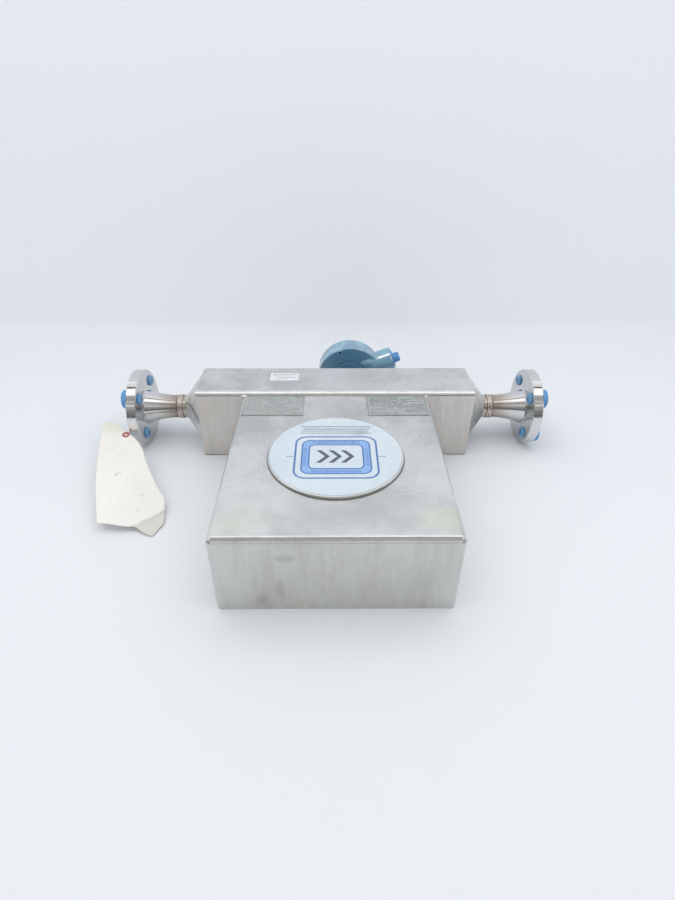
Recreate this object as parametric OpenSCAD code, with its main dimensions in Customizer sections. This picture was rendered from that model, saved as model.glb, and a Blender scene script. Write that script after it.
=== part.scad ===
// Coriolis flow meter, one inch line size, lying on its flat side.
// +X runs from the inlet flange to the outlet flange, +Y points to the junction box, +Z is up.
// The origin is on the resting plane, under the middle of the flow line.

/* [Flow line] */
// Distance between the two raised faces
face_to_face = 585; // [575:1:600]
// Height of the flow line above the resting plane
axis_h = 54; // [54:0.5:56]
// Outside diameter of the process pipe
pipe_od = 33.4; // [33:0.1:34]
// Bore of the flanges and nozzles
pipe_bore = 26.6; // [25:0.1:27]

/* [Flanges] */
// Outside diameter of each flange
flange_od = 108; // [106:0.5:108]
// Thickness of the flange ring, without its raised face
flange_t = 14.3; // [12:0.1:16]
// Diameter of the raised face
raised_d = 50.8; // [50:0.1:52]
// Height of the raised face
raised_h = 1.6; // [1:0.1:2]
// Diameter of the bolt circle
bolt_circle = 79.4; // [79:0.1:80]
// Diameter of each bolt hole
bolt_hole_d = 15.9; // [15.5:0.1:16]
// Diameter of the hub where it leaves the ring
hub_d = 49.2; // [46:0.1:50]
// Length from the raised face to the butt weld
hub_l = 66; // [60:1:70]

/* [Manifold case] */
// Length of the manifold case along the flow line
manifold_l = 382; // [376:1:386]
// Height of the manifold case
manifold_h = 104; // [102:1:108]
// Distance from the flow line to the manifold's front face
manifold_front = 50.5; // [49:0.5:52]
// Distance from the flow line to the manifold's back face
manifold_back = 27; // [26:0.5:30]
// Thickness of the case sheet
sheet_t = 3; // [2.5:0.1:3.2]
// Outer radius of the folded edges
fold_r = 4; // [3.5:0.5:5]
// Height of the seam between the manifold's tray and its cover
tray_h = 7; // [6:0.5:10]
// How far the tapered end caps stand out
cap_l = 25; // [22:1:27]

/* [Tube case] */
// Width of the tube case
case_w = 252; // [246:1:260]
// Height of the tube case
case_h = 100; // [98:1:101]
// Distance from the flow line to the front of the tube case
case_front = 327.5; // [325:0.5:335]
// Radius of the raised round seat for the label
seat_r = 78.6; // [70:0.2:80]
// Distance from the flow line to the middle of that seat
seat_y = 189.3; // [186:0.1:192]
// How far the seat stands above the sheet
seat_h = 3.4; // [2:0.2:4]

/* [Flow tubes] */
// Outside diameter of each flow tube
tube_od = 19; // [18:0.5:20]
// Wall thickness of each flow tube
tube_wall = 1.2; // [1:0.1:1.5]
// Distance between the two tubes' middles
tube_gap = 44; // [43:1:45]
// Bend radius of each tube, and half the distance between its legs
bend_r = 88; // [86:1:90]
// Distance from the flow line to the start of the bend
bend_y = 215; // [210:1:218]
// Distance from the flow line to the brace bars, about which the tubes swing
brace_y = 60; // [59:1:61]

/* [Junction box] */
// Outside radius of the junction box
box_r = 51; // [50:0.5:52]
// Distance from the manifold's middle to the box's middle
box_x = 24.3; // [20:0.1:28]
// Distance from the flow line to the near face of the box
box_y = 91; // [78:0.5:94]
// Depth of the box without its cover
box_l = 22.2; // [22:0.1:24]
// Thickness of the cover's flange
cover_t = 10; // [9:0.5:11]
// Pitch of the cover's screw thread
thread_pitch = 2; // [1.5:0.25:2]
// Angle of the conduit entry above the horizontal
conduit_angle = 21; // [20:0.5:30]
// Distance from the box's middle to the end of the conduit entry
conduit_l = 74; // [72:1:76]
// Outside radius of the conduit entry
conduit_r = 19; // [18:0.5:19.5]

/* [Plates and labels] */
// Width of each data plate
plate_w = 81; // [70:1:82]
// Depth of each data plate
plate_d = 49; // [40:1:50]
// Thickness of each data plate
plate_t = 0.8; // [0.5:0.1:1]
// Radius of the round label
label_r = 76; // [60:0.5:76]

/* [Paper tag] */
// Width of the tag at its lower end
tag_w = 81; // [70:1:82]
// Length of the tag along its left edge
tag_l = 182; // [170:1:185]
// Thickness of the tag
tag_t = 0.8; // [0.6:0.1:1]

/* [Hidden] */

$fn = 72;

steel = [0.76, 0.78, 0.80];
bright = [0.83, 0.84, 0.85];
weld = [0.58, 0.47, 0.40];
inner = [0.66, 0.68, 0.70];
blue_paint = [0.43, 0.62, 0.72];
plug_blue = [0.22, 0.55, 0.80];
copper = [0.75, 0.45, 0.25];
black = [0.15, 0.15, 0.16];
paper = [0.93, 0.90, 0.84];

pipe_r = pipe_od / 2;
bore_r = pipe_bore / 2;
flange_r = flange_od / 2;
half_f = face_to_face / 2;
ring_out = half_f - raised_h;
ring_in = ring_out - flange_t;
weld_x = half_f - hub_l;
neck_end = weld_x + 10;
half_m = manifold_l / 2;
cap_tip = half_m + cap_l;
manifold_d = manifold_front + manifold_back;
manifold_mid = (manifold_back - manifold_front) / 2;
half_c = case_w / 2;
tube_r = tube_od / 2;
half_gap = tube_gap / 2;
run_clear = 0.35;
socket_y = brace_y - 16;
splitter_in = half_m - 15;
spacer_end = bend_r - 26;
hole_r = bolt_hole_d / 2;
thread_r = 44.2;
thread_l = 4 * thread_pitch;
cover_face = box_y + box_l + 0.4;
spacer_r = 15;
seat_unit_r = 7;
wire_way_r = 12;
feed_y = manifold_back + 8;
pin_circle = 7;
drive_y = bend_y + bend_r;
pickoff_y = bend_y - 12;
conduit_y = box_y + 15;
floor_y = box_y + 5;
terminal_pitch = 6.6;
terminal_z = 17;
terminal_d = 8.4;
terminal_r = 2.3;
neck_flange_r = 29;
neck_flange_t = 7;
seal_w = 2.6;
entry_r = 12.2;
neck_bolt_r = 24;
screw_r = 2.1;
ground_r = 46.5;
ground_angle = -110;
tag_corner = [-332, -34.5];
tag_turn = 12.5;
tag_lift = 48;
tag_edge = [[0, 0.15], [0.1, 0.34], [0.16, 0.45], [0.24, 0.58], [0.32, 0.67],
            [0.42, 0.71], [0.62, 0.87], [0.72, 0.99], [0.9, 0.96], [1, 0.81]];
tag_eye = [0.84, 0.17];
tag_rows = 18;
tag_cols = 8;
eyelet_r = 5.2;

// Draws along +Z what lies along the flow line, from the middle to one end
module at_end(side) {
    translate([0, 0, axis_h]) rotate([0, side * 90, 0]) children();
}

// Draws along +Z what lies along the junction box's axis, with z = 0 on the flow line
module on_box_axis() {
    translate([box_x, 0, axis_h]) rotate([-90, 0, 0]) children();
}

module round_rect(w, h, r) {
    square([w - 2 * r, h], center = true);
    square([w, h - 2 * r], center = true);
    for (x = [-1, 1], y = [-1, 1])
        translate([x * (w / 2 - r), y * (h / 2 - r)]) circle(r);
}

// A wire or bundle through a list of points
module route(points, r) {
    for (i = [1 : len(points) - 1]) hull() {
        translate(points[i - 1]) sphere(r, $fn = 8);
        translate(points[i]) sphere(r, $fn = 8);
    }
}

// ---- Tube case ----

// The tube case's outer form, or its inside when shrunk by an inset
module case_form(inset) {
    r = fold_r - inset + 0.5;
    w = case_w - 2 * inset;
    depth = case_front - inset;
    top = case_h - inset;
    over = 40;
    intersection() {
        translate([0, -depth / 2 + over / 2, -over])
            linear_extrude(top + over) round_rect(w, depth + over, r);
        translate([0, over, (top - over) / 2])
            rotate([90, 0, 0]) linear_extrude(depth + 2 * over) round_rect(w, top + over, r);
        translate([-w, (over - depth) / 2, (top - over) / 2])
            rotate([90, 0, 90]) linear_extrude(2 * w) round_rect(depth + over, top + over, r);
        translate([-w, -depth - over, 0]) cube([2 * w, depth + over - manifold_front, top + over]);
    }
}

// The label seat as a revolved button with a rounded shoulder
module seat_button(r, h, shoulder) {
    rotate_extrude() {
        square([r - shoulder, h]);
        square([r, h - shoulder]);
        translate([r - shoulder, h - shoulder])
            intersection() {
                circle(shoulder);
                square(shoulder + 1);
            }
    }
}

module case_pan() {
    color(steel) difference() {
        union() {
            case_form(0);
            translate([0, -seat_y, case_h - 1]) seat_button(seat_r, seat_h + 1, 2);
        }
        difference() {
            case_form(sheet_t);
            translate([-half_c, -case_front, -1]) cube([case_w, case_front, 1]);
        }
        translate([0, -seat_y, case_h - sheet_t - 1])
            cylinder(r = seat_r - sheet_t - 1, h = seat_h + 1);
    }
}

module case_base() {
    w = case_w - 2 * sheet_t;
    color(steel)
        intersection() {
            case_form(sheet_t);
            translate([-w / 2, -case_front, 0]) cube([w, case_front, sheet_t]);
        }
}

// ---- Manifold case ----

// A length of the manifold's folded box section, between two heights
module manifold_section(z0, z1) {
    r = fold_r;
    intersection() {
        translate([-half_m, manifold_mid, manifold_h / 2])
            rotate([90, 0, 90]) linear_extrude(manifold_l) difference() {
                round_rect(manifold_d, manifold_h, r);
                round_rect(manifold_d - 2 * sheet_t, manifold_h - 2 * sheet_t, r - sheet_t + 0.5);
            }
        translate([-half_m, -manifold_front, z0]) cube([manifold_l, manifold_d, z1 - z0]);
    }
}

module manifold_cover() {
    lip = 14;
    color(steel) difference() {
        manifold_section(tray_h, manifold_h);
        translate([-half_c + lip, -manifold_front - 1, tray_h + lip / 2])
            cube([case_w - 2 * lip, sheet_t + 2, case_h - tray_h - lip]);
        on_box_axis() translate([0, 0, manifold_back - sheet_t - 1])
            cylinder(r = wire_way_r, h = sheet_t + 2);
    }
}

module manifold_tray() {
    color(steel) manifold_section(0, tray_h);
}

module end_plate(side) {
    color(steel) difference() {
        translate([side * (half_m - sheet_t / 2), manifold_mid, manifold_h / 2])
            rotate([90, 0, 90]) linear_extrude(sheet_t, center = true)
                round_rect(manifold_d - 2 * sheet_t, manifold_h - 2 * sheet_t, fold_r - sheet_t + 0.5);
        at_end(side) translate([0, 0, half_m - sheet_t - 1]) cylinder(r = pipe_r, h = sheet_t + 2);
    }
}

// End of the manifold's box form, on both sides of the case's end, shrunk by an inset
module box_end(side, inset) {
    translate([side * half_m, manifold_mid, manifold_h / 2]) rotate([90, 0, 90])
        linear_extrude(2 * cap_l + 2, center = true)
            round_rect(manifold_d - 2 * inset, manifold_h - 2 * inset, fold_r - inset + 0.5);
}

// Cone from the case's end to the nozzle, trimmed flush with the sides of the case
module end_cap(side) {
    base_r = 51.4;
    tip_r = pipe_r + 1.6;
    color(steel) difference() {
        intersection() {
            box_end(side, 0);
            at_end(side) translate([0, 0, half_m]) cylinder(r1 = base_r, r2 = tip_r, h = cap_l);
        }
        intersection() {
            box_end(side, sheet_t);
            at_end(side) translate([0, 0, half_m - 1])
                cylinder(r1 = base_r - sheet_t, r2 = tip_r - sheet_t - 1, h = cap_l - 2);
        }
        at_end(side) translate([0, 0, half_m - 1]) cylinder(r = pipe_r, h = cap_l + 2);
    }
}

// ---- Process connections ----

// Radius of the hub's concave flare at a share t of its length from the neck
function flare(t) = pipe_r + (hub_d / 2 - pipe_r) * pow(t, 1.6);

module flange(side) {
    steps = 10;
    edge = 1;
    foot = 2.5;
    hub_span = ring_in - 1.5 - neck_end;
    hub = [for (i = [0 : steps]) [flare(i / steps), neck_end + hub_span * i / steps]];
    color(bright) at_end(side) difference() {
        rotate_extrude() polygon(concat(
            [[bore_r, weld_x], [pipe_r, weld_x]],
            hub,
            [[hub_d / 2 + foot, ring_in], [flange_r - edge, ring_in], [flange_r, ring_in + edge],
             [flange_r, ring_out - edge], [flange_r - edge, ring_out], [raised_d / 2, ring_out],
             [raised_d / 2, half_f], [bore_r, half_f]]));
        for (a = [45 : 90 : 315])
            rotate(a) translate([bolt_circle / 2, 0, ring_in - 1]) cylinder(r = hole_r, h = flange_t + 2);
    }
}

// Two weld passes side by side at the hub, and a fillet at the cap
module welds(side) {
    bead_r = 6;
    rise = 0.9;
    leg = 4;
    color(weld) at_end(side) rotate_extrude() {
        for (x = [weld_x - 3, weld_x + 3]) intersection() {
            translate([pipe_r + rise - bead_r, x]) circle(bead_r);
            translate([pipe_r, x - bead_r]) square(2 * bead_r);
        }
        intersection() {
            translate([pipe_r - leg / 2, cap_tip - leg / 8]) circle(leg);
            translate([pipe_r, cap_tip]) square(leg);
        }
    }
}

module nozzle(side) {
    color(inner) at_end(side) translate([0, 0, splitter_in]) difference() {
        cylinder(r = pipe_r, h = weld_x - splitter_in);
        translate([0, 0, -1]) cylinder(r = bore_r, h = weld_x - splitter_in + 2);
    }
}

// Casting that turns the flow through a right angle and divides it between the two tubes
module splitter(side) {
    elbow_r = 20;
    collar_r = 13;
    elbow_l = 34;
    block_l = 34;
    bore = tube_r - tube_wall;
    color(inner) difference() {
        union() {
            hull() {
                at_end(side) translate([0, 0, splitter_in - elbow_l])
                    cylinder(r = elbow_r, h = 4, $fn = 32);
                for (s = [-1, 1])
                    translate([side * bend_r, block_l / 2, axis_h + s * half_gap]) rotate([90, 0, 0])
                        cylinder(r1 = collar_r + 1, r2 = collar_r + 5, h = block_l, $fn = 32);
            }
            at_end(side) translate([0, 0, splitter_in - elbow_l + 4])
                cylinder(r = elbow_r, h = elbow_l - 4);
            for (s = [-1, 1])
                translate([side * bend_r, 0, axis_h + s * half_gap])
                    rotate([90, 0, 0]) cylinder(r = collar_r, h = brace_y - 2);
            at_end(side) translate([0, 0, spacer_end]) cylinder(r = spacer_r + 3, h = 12);
        }
        at_end(side) translate([0, 0, bend_r]) cylinder(r = bore_r, h = splitter_in - bend_r + 1);
        translate([side * bend_r, 0, axis_h - half_gap]) cylinder(r = bore, h = tube_gap);
        for (s = [-1, 1])
            translate([side * bend_r, 0, axis_h + s * half_gap]) {
                rotate([90, 0, 0]) cylinder(r = bore, h = brace_y);
                translate([0, -socket_y, 0]) rotate([90, 0, 0]) cylinder(r = tube_r + run_clear, h = 20);
            }
    }
}

// Structural tube that holds the two castings apart
module manifold_spacer() {
    wall = 3;
    color(inner) at_end(1) translate([0, 0, -spacer_end]) difference() {
        cylinder(r = spacer_r, h = 2 * spacer_end);
        translate([0, 0, -1]) cylinder(r = spacer_r - wall, h = 2 * spacer_end + 2);
    }
}

// ---- Flow tubes ----

module tube_path(r) {
    end_y = socket_y + 0.5;
    for (x = [-bend_r, bend_r])
        translate([x, -end_y, 0]) rotate([90, 0, 0]) cylinder(r = r, h = bend_y - end_y);
    translate([0, -bend_y, 0]) rotate([0, 0, 180])
        rotate_extrude(angle = 180) translate([bend_r, 0]) circle(r);
}

module flow_tube(s) {
    color(bright) translate([0, 0, axis_h + s * half_gap]) difference() {
        tube_path(tube_r);
        tube_path(tube_r - tube_wall);
        for (x = [-bend_r, bend_r])
            translate([x, -socket_y + 1, 0]) rotate([90, 0, 0]) cylinder(r = tube_r - tube_wall, h = 10);
    }
}

// Plate that ties the two tubes together, and sets the line about which they swing
module brace_bar(side) {
    bar_t = 4;
    bar_w = 22;
    color(steel) translate([side * bend_r, -brace_y + bar_t / 2, axis_h]) rotate([90, 0, 0])
        linear_extrude(bar_t) difference() {
            union() {
                square([bar_w, tube_gap], center = true);
                for (s = [-1, 1]) translate([0, s * half_gap]) circle(tube_r + 5.5);
            }
            for (s = [-1, 1]) translate([0, s * half_gap]) circle(tube_r + run_clear);
        }
}

// Saddle on the side of a tube which faces the other tube, for a coil or a magnet
module saddle(x, y, s, turn) {
    reach = tube_r + 1.6;
    w = 14;
    difference() {
        translate([x, -y, axis_h + s * half_gap]) rotate(turn) intersection() {
            rotate([90, 0, 0]) cylinder(r = reach, h = w, center = true);
            translate([-reach, -w / 2 - 1, s > 0 ? -reach : 0]) cube([2 * reach, w + 2, reach]);
        }
        translate([0, 0, axis_h + s * half_gap]) tube_path(tube_r);
    }
}

// Magnet in its cup, hanging from the upper tube
module magnet_unit(x, y, turn) {
    seat_z = half_gap - tube_r - 1.2;
    dip = 3.5;
    magnet_r = 4.2;
    cup_z = 8;
    color(steel) saddle(x, y, 1, turn);
    color(black) translate([x, -y, axis_h - dip]) cylinder(r = magnet_r, h = seat_z + dip, $fn = 48);
    color(steel) translate([x, -y, axis_h + cup_z]) cylinder(r = seat_unit_r, h = seat_z - cup_z, $fn = 48);
}

// Bobbin and winding, standing on the lower tube
module coil_unit(x, y, turn) {
    foot = -half_gap + tube_r + 1.2;
    foot_t = 2.8;
    top = 2;
    rim_t = 1.4;
    bobbin_r = 10;
    color(steel) saddle(x, y, -1, turn);
    color(black) translate([x, -y, axis_h]) difference() {
        union() {
            translate([0, 0, foot]) cylinder(r = seat_unit_r, h = foot_t + 0.2, $fn = 48);
            for (z = [foot + foot_t, top - rim_t])
                translate([0, 0, z]) cylinder(r = bobbin_r, h = rim_t, $fn = 48);
            translate([0, 0, foot + foot_t]) cylinder(r = bobbin_r - 1, h = top - foot - foot_t, $fn = 48);
        }
        translate([0, 0, -6]) cylinder(r = 5.6, h = 12, $fn = 48);
    }
}

// Thin leads tied along the lower tube, on its inner side and below the saddles
module coil_leads() {
    lead_r = 1.1;
    side_in = (tube_r + lead_r) * cos(45);
    lead_x = bend_r - side_in;
    color(copper) translate([0, 0, axis_h - half_gap - side_in]) {
        for (s = [-1, 1])
            translate([s * lead_x, -brace_y - 6, 0])
                rotate([90, 0, 0]) cylinder(r = lead_r, h = bend_y - brace_y - 6, $fn = 24);
        translate([0, -bend_y, 0]) rotate([0, 0, 180])
            rotate_extrude(angle = 180) translate([lead_x, 0]) circle(lead_r, $fn = 24);
    }
}

// Temperature sensor strapped under the inlet leg of the lower tube, open where the leads pass
module tube_rtd() {
    strap_w = 8;
    strap_r = tube_r + 0.6;
    sensor_r = 2.2;
    color(bright) translate([-bend_r, -brace_y - 40, axis_h - half_gap]) rotate([90, 0, 0]) difference() {
        union() {
            cylinder(r = strap_r, h = strap_w);
            translate([0, -tube_r - sensor_r + 0.2, -strap_w / 2])
                cylinder(r = sensor_r, h = strap_w * 2, $fn = 32);
        }
        translate([0, 0, -5]) cylinder(r = tube_r, h = strap_w * 2 + 2);
        translate([4, -strap_r, -1]) cube([strap_r, strap_r - 3, strap_w + 2]);
    }
}

// Bundle from the feedthrough to a clip on each brace bar
module harness() {
    r = 2.4;
    y_back = manifold_back - sheet_t - 4;
    z_top = axis_h + spacer_r + 2 * r + 1;
    bar_x = bend_r - 15;
    drop_x = bar_x - 25;
    clip = [16, 2, 8];
    color(copper) {
        route([[box_x, manifold_back + 2.2, axis_h], [box_x, y_back, axis_h], [box_x, y_back, z_top]], r);
        for (s = [-1, 1]) {
            route([[box_x, y_back, z_top], [s * drop_x, y_back, z_top], [s * drop_x, -brace_y + 10, z_top],
                   [s * (bar_x - 7), -brace_y - 3, z_top]], r);
            translate([s * (bar_x - 5) - clip[0] / 2, -brace_y - 4, z_top - clip[2] / 2]) cube(clip);
        }
    }
}

// ---- Junction box ----

module junction_neck() {
    foot = manifold_back;
    neck_r = 19;
    color(blue_paint) on_box_axis() difference() {
        rotate_extrude() polygon([[wire_way_r, foot], [neck_r + 3, foot], [neck_r + 1, foot + 2],
            [neck_r, foot + 5], [neck_r, box_y - neck_flange_t - 2], [neck_r + 1, box_y - neck_flange_t],
            [neck_flange_r - 0.6, box_y - neck_flange_t], [neck_flange_r, box_y - neck_flange_t + 0.6],
            [neck_flange_r, box_y], [wire_way_r, box_y]]);
        for (a = [45 : 90 : 315]) rotate(a) translate([neck_bolt_r, 0, box_y - neck_flange_t - 1])
            cylinder(r = screw_r, h = neck_flange_t + 2, $fn = 32);
    }
}

module feedthrough() {
    color(steel) on_box_axis() {
        translate([0, 0, feed_y]) cylinder(r = wire_way_r, h = 6);
        for (a = [0 : 40 : 320])
            rotate(a + 10) translate([pin_circle, 0, feed_y - 3]) cylinder(r = 0.7, h = 12, $fn = 24);
    }
}

// Draws along +Z what lies along the conduit entry
module conduit_line() {
    translate([box_x, conduit_y, axis_h]) rotate([0, 90 - conduit_angle, 0]) children();
}

// Turned form of the conduit entry, round at its inner end
module conduit_hub() {
    start = 21;
    steps = 8;
    nose = [for (i = [0 : steps])
        let (a = 90 * i / steps - 90) [conduit_r * cos(a), start + conduit_r * sin(a)]];
    mouth = [[conduit_r, conduit_l - 1], [conduit_r - 1, conduit_l], [0, conduit_l]];
    rotate_extrude() polygon(concat(nose, mouth));
}

module junction_body() {
    wall_r = 43;
    boss_r = 22.5;
    boss_x = 33;
    flat_r = 9;
    dome_h = 9;
    edge = 0.8;
    steps = 8;
    dome = [for (i = [0 : steps])
        let (a = 90 * i / steps) [flat_r + (boss_r - flat_r) * sin(a), dome_h * (1 - cos(a))]];
    color(blue_paint) difference() {
        union() {
            on_box_axis() translate([0, 0, box_y]) rotate_extrude()
                polygon([[0, 0], [box_r - 1.5, 0], [box_r, 1.5], [box_r, box_l - edge],
                         [box_r - edge, box_l], [0, box_l]]);
            conduit_line() conduit_hub();
            on_box_axis() rotate(-conduit_angle) translate([boss_x, 0, conduit_y - conduit_r])
                rotate_extrude() polygon(concat([[0, 0]], dome, [[boss_r, conduit_r], [0, conduit_r]]));
        }
        on_box_axis() {
            translate([0, 0, box_y - 12]) cylinder(r = neck_flange_r + 0.5, h = 12);
            translate([0, 0, floor_y]) cylinder(r = wall_r, h = box_l);
            translate([0, 0, box_y + box_l - thread_l - 1]) cylinder(r = thread_r + 0.3, h = box_l);
            translate([0, 0, box_y + box_l - seal_w]) cylinder(r = thread_r + seal_w, h = box_l);
            translate([0, 0, box_y + box_l]) cylinder(r = box_r + 0.6, h = box_l);
            translate([0, 0, box_y - 1]) cylinder(r = wire_way_r, h = box_l);
            for (a = [45 : 90 : 315])
                rotate(a) translate([neck_bolt_r, 0, box_y - 1]) cylinder(r = screw_r, h = 5, $fn = 32);
            rotate(ground_angle) translate([ground_r, 0, box_y - 1]) cylinder(r = screw_r, h = 8, $fn = 32);
        }
        conduit_line() translate([0, 0, 30]) cylinder(r = entry_r, h = conduit_l);
    }
}

module neck_screws() {
    head_t = 4;
    color(steel) on_box_axis() for (a = [45 : 90 : 315])
        rotate(a) translate([neck_bolt_r, 0, box_y - neck_flange_t]) {
        translate([0, 0, -head_t]) difference() {
            cylinder(r = 3.6, h = head_t, $fn = 48);
            translate([0, 0, -1]) cylinder(r = 2, h = 3, $fn = 6);
        }
        cylinder(r = screw_r, h = neck_flange_t + 3, $fn = 32);
    }
}

module terminal_block() {
    slot_w = 3.2;
    block_w = 62;
    block_h = 16;
    color([0.2, 0.35, 0.25]) translate([box_x, floor_y, axis_h + terminal_z]) difference() {
        translate([-block_w / 2, 0, -block_h / 2]) cube([block_w, terminal_d, block_h]);
        for (i = [-4 : 4]) translate([i * terminal_pitch, terminal_d, 0]) {
            rotate([90, 0, 0]) cylinder(r = terminal_r, h = 5, $fn = 32);
            translate([-slot_w / 2, -5, -9]) cube([slot_w, 2.6, 6]);
        }
    }
}

module terminal_screws() {
    screw_y = floor_y + terminal_d - 1.2;
    color(bright) for (i = [-4 : 4])
        translate([box_x + i * terminal_pitch, screw_y, axis_h + terminal_z]) difference() {
            rotate([90, 0, 0]) cylinder(r = terminal_r, h = 3.8, $fn = 32);
            translate([-3, -1, -0.35]) cube([6, 2, 0.7]);
        }
}

// Leads from the feedthrough's pins to the terminals
module junction_wires() {
    wire_y = floor_y + terminal_d - 3.7;
    color(copper) for (i = [-4 : 4]) {
        a = 90 - i * 40;
        pin = [box_x + pin_circle * cos(a), axis_h + pin_circle * sin(a)];
        x = box_x + i * terminal_pitch;
        z = axis_h + terminal_z - 10.2;
        route([[pin[0], feed_y + 10.2, pin[1]], [pin[0], wire_y, pin[1]],
               [x, wire_y, z - 0.3 * abs(i)], [x, wire_y, z + 2]], 0.6);
    }
}

module cover_seal() {
    color(black) on_box_axis() translate([0, 0, box_y + box_l - seal_w / 2])
        rotate_extrude() translate([thread_r + seal_w / 2 - 0.05, 0]) circle(1.1, $fn = 32);
}

module junction_cover() {
    spigot_in = 41;
    lug = [16, 10, 7];
    lug_x = 24;
    color(blue_paint) on_box_axis() difference() {
        union() {
            translate([0, 0, cover_face]) rotate_extrude()
                polygon([[0, 0], [box_r - 0.8, 0], [box_r, 0.8], [box_r, cover_t - 2.5],
                         [box_r - 2.5, cover_t], [0, cover_t]]);
            translate([0, 0, cover_face - thread_l]) cylinder(r = thread_r, h = thread_l + 1);
            for (a = [0, 180])
                rotate(a) translate([lug_x, -lug[1] / 2, cover_face + cover_t - 1]) cube(lug);
        }
        translate([0, 0, cover_face - thread_l - 1]) cylinder(r = spigot_in, h = thread_l + 5);
    }
}

module ground_screw() {
    color(steel) on_box_axis() rotate(ground_angle) translate([ground_r, 0, box_y]) {
        translate([0, 0, -2.4]) difference() {
            cylinder(r = 4, h = 2.4, $fn = 48);
            translate([0, 0, -1]) cylinder(r = 2, h = 2.6, $fn = 6);
        }
        cylinder(r = screw_r, h = 6, $fn = 32);
    }
}

module conduit_plug() {
    depth = 12;
    knob_l = 11;
    color(plug_blue) conduit_line() difference() {
        union() {
            translate([0, 0, conduit_l - depth]) cylinder(r1 = entry_r - 0.3, r2 = entry_r, h = depth);
            translate([0, 0, conduit_l]) cylinder(r = entry_r + 1.8, h = 1.2);
            translate([0, 0, conduit_l]) cylinder(r1 = 8.2, r2 = 7.4, h = knob_l);
        }
        translate([0, 0, conduit_l - depth - 1]) cylinder(r = 6, h = depth + knob_l - 1);
    }
}

// ---- Shipping plugs ----

// Thin cups pushed through the bolt holes from outside. The closed tips stand out behind the ring,
// and the wide open heads stand out from its face.
module bolt_plugs(side) {
    tip = ring_in - 3.2;
    bottom_t = 2.4;
    wall_r = hole_r - 0.45;
    head_r = 13.2;
    head_l = 7;
    head_t = 1.6;
    edge = 1.2;
    dimple_r = 2;
    color(plug_blue) at_end(side) for (a = [45 : 90 : 315])
        rotate(a) translate([bolt_circle / 2, 0, 0]) rotate_extrude() polygon([
            [0, tip + 0.9], [dimple_r - 0.7, tip + 0.9], [dimple_r, tip], [hole_r - 1.5, tip],
            [hole_r, tip + 1.5], [hole_r, ring_out], [head_r - 0.5, ring_out], [head_r, ring_out + 0.5],
            [head_r, ring_out + head_l - edge], [head_r - edge, ring_out + head_l],
            [head_r - 2 * edge, ring_out + head_l], [head_r - 2 * edge, ring_out + head_t],
            [wall_r, ring_out + head_t], [wall_r, tip + bottom_t], [0, tip + bottom_t]]);
}

// ---- Plates and labels ----

module round_label() {
    color([0.88, 0.92, 0.94]) translate([0, -seat_y, case_h + seat_h]) cylinder(r = label_r, h = 0.3);
}

module data_plate(side) {
    mid_x = side * (half_c - 4 - plate_w / 2);
    color([0.70, 0.72, 0.69]) translate([mid_x, -manifold_front - 2 - plate_d / 2, case_h])
        linear_extrude(plate_t) round_rect(plate_w, plate_d, 1.5);
}

module stock_sticker() {
    color([0.95, 0.95, 0.96]) translate([-72, -3, manifold_h])
        linear_extrude(0.2) round_rect(40, 22.5, 1);
}

// ---- Paper tag ----

// The tag leans towards the rim of the inlet flange, and its lower right corner curls down to the plane.
// Across and along are shares of its width and length, and both run from its upper left corner.
function smooth(t) = let (c = min(1, max(0, t))) c * c * (3 - 2 * c);

function tag_height(u, v) =
    max(0.6 * tag_t, 9 + (tag_lift - 9 + 4 * u / tag_w) * pow(max(0, 1 - v / (tag_l + 4)), 1.2)
        - 9.5 * smooth(((u - tag_w / 2) + (v - 0.7 * tag_l)) / 92));

function tag_point(a, b) =
    let (w = lookup(b, tag_edge),
         u = a * tag_w * w - (1 - a) * 6 * sin(180 * b),
         v = b * (tag_l + 19 * smooth((a * w - 0.5) / 0.3)))
    [tag_corner[0] + u * cos(tag_turn) + v * sin(tag_turn),
     tag_corner[1] + u * sin(tag_turn) - v * cos(tag_turn),
     tag_height(u, v)];

function tag_index(i, j, face) = (face * (tag_rows + 1) + i) * (tag_cols + 1) + j;

module paper_tag() {
    n = tag_cols;
    m = tag_rows;
    points = [for (face = [0, 1], i = [0 : m], j = [0 : n])
        tag_point(j / n, i / m) + [0, 0, (0.5 - face) * tag_t]];
    top = [for (i = [0 : m - 1], j = [0 : n - 1], k = [0, 1]) k == 0
        ? [tag_index(i, j, 0), tag_index(i, j + 1, 0), tag_index(i + 1, j, 0)]
        : [tag_index(i, j + 1, 0), tag_index(i + 1, j + 1, 0), tag_index(i + 1, j, 0)]];
    under = [for (i = [0 : m - 1], j = [0 : n - 1], k = [0, 1]) k == 0
        ? [tag_index(i, j, 1), tag_index(i + 1, j, 1), tag_index(i, j + 1, 1)]
        : [tag_index(i, j + 1, 1), tag_index(i + 1, j, 1), tag_index(i + 1, j + 1, 1)]];
    left = [for (i = [0 : m - 1])
        [tag_index(i, 0, 0), tag_index(i + 1, 0, 0), tag_index(i + 1, 0, 1), tag_index(i, 0, 1)]];
    right = [for (i = [0 : m - 1])
        [tag_index(i, n, 0), tag_index(i, n, 1), tag_index(i + 1, n, 1), tag_index(i + 1, n, 0)]];
    head = [for (j = [0 : n - 1])
        [tag_index(0, j, 0), tag_index(0, j, 1), tag_index(0, j + 1, 1), tag_index(0, j + 1, 0)]];
    foot = [for (j = [0 : n - 1])
        [tag_index(m, j, 0), tag_index(m, j + 1, 0), tag_index(m, j + 1, 1), tag_index(m, j, 1)]];
    color(paper) difference() {
        polyhedron(points, concat(top, under, left, right, head, foot), convexity = 4);
        tag_eye_frame() cylinder(r = eyelet_r, h = 12, center = true);
    }
}

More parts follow.
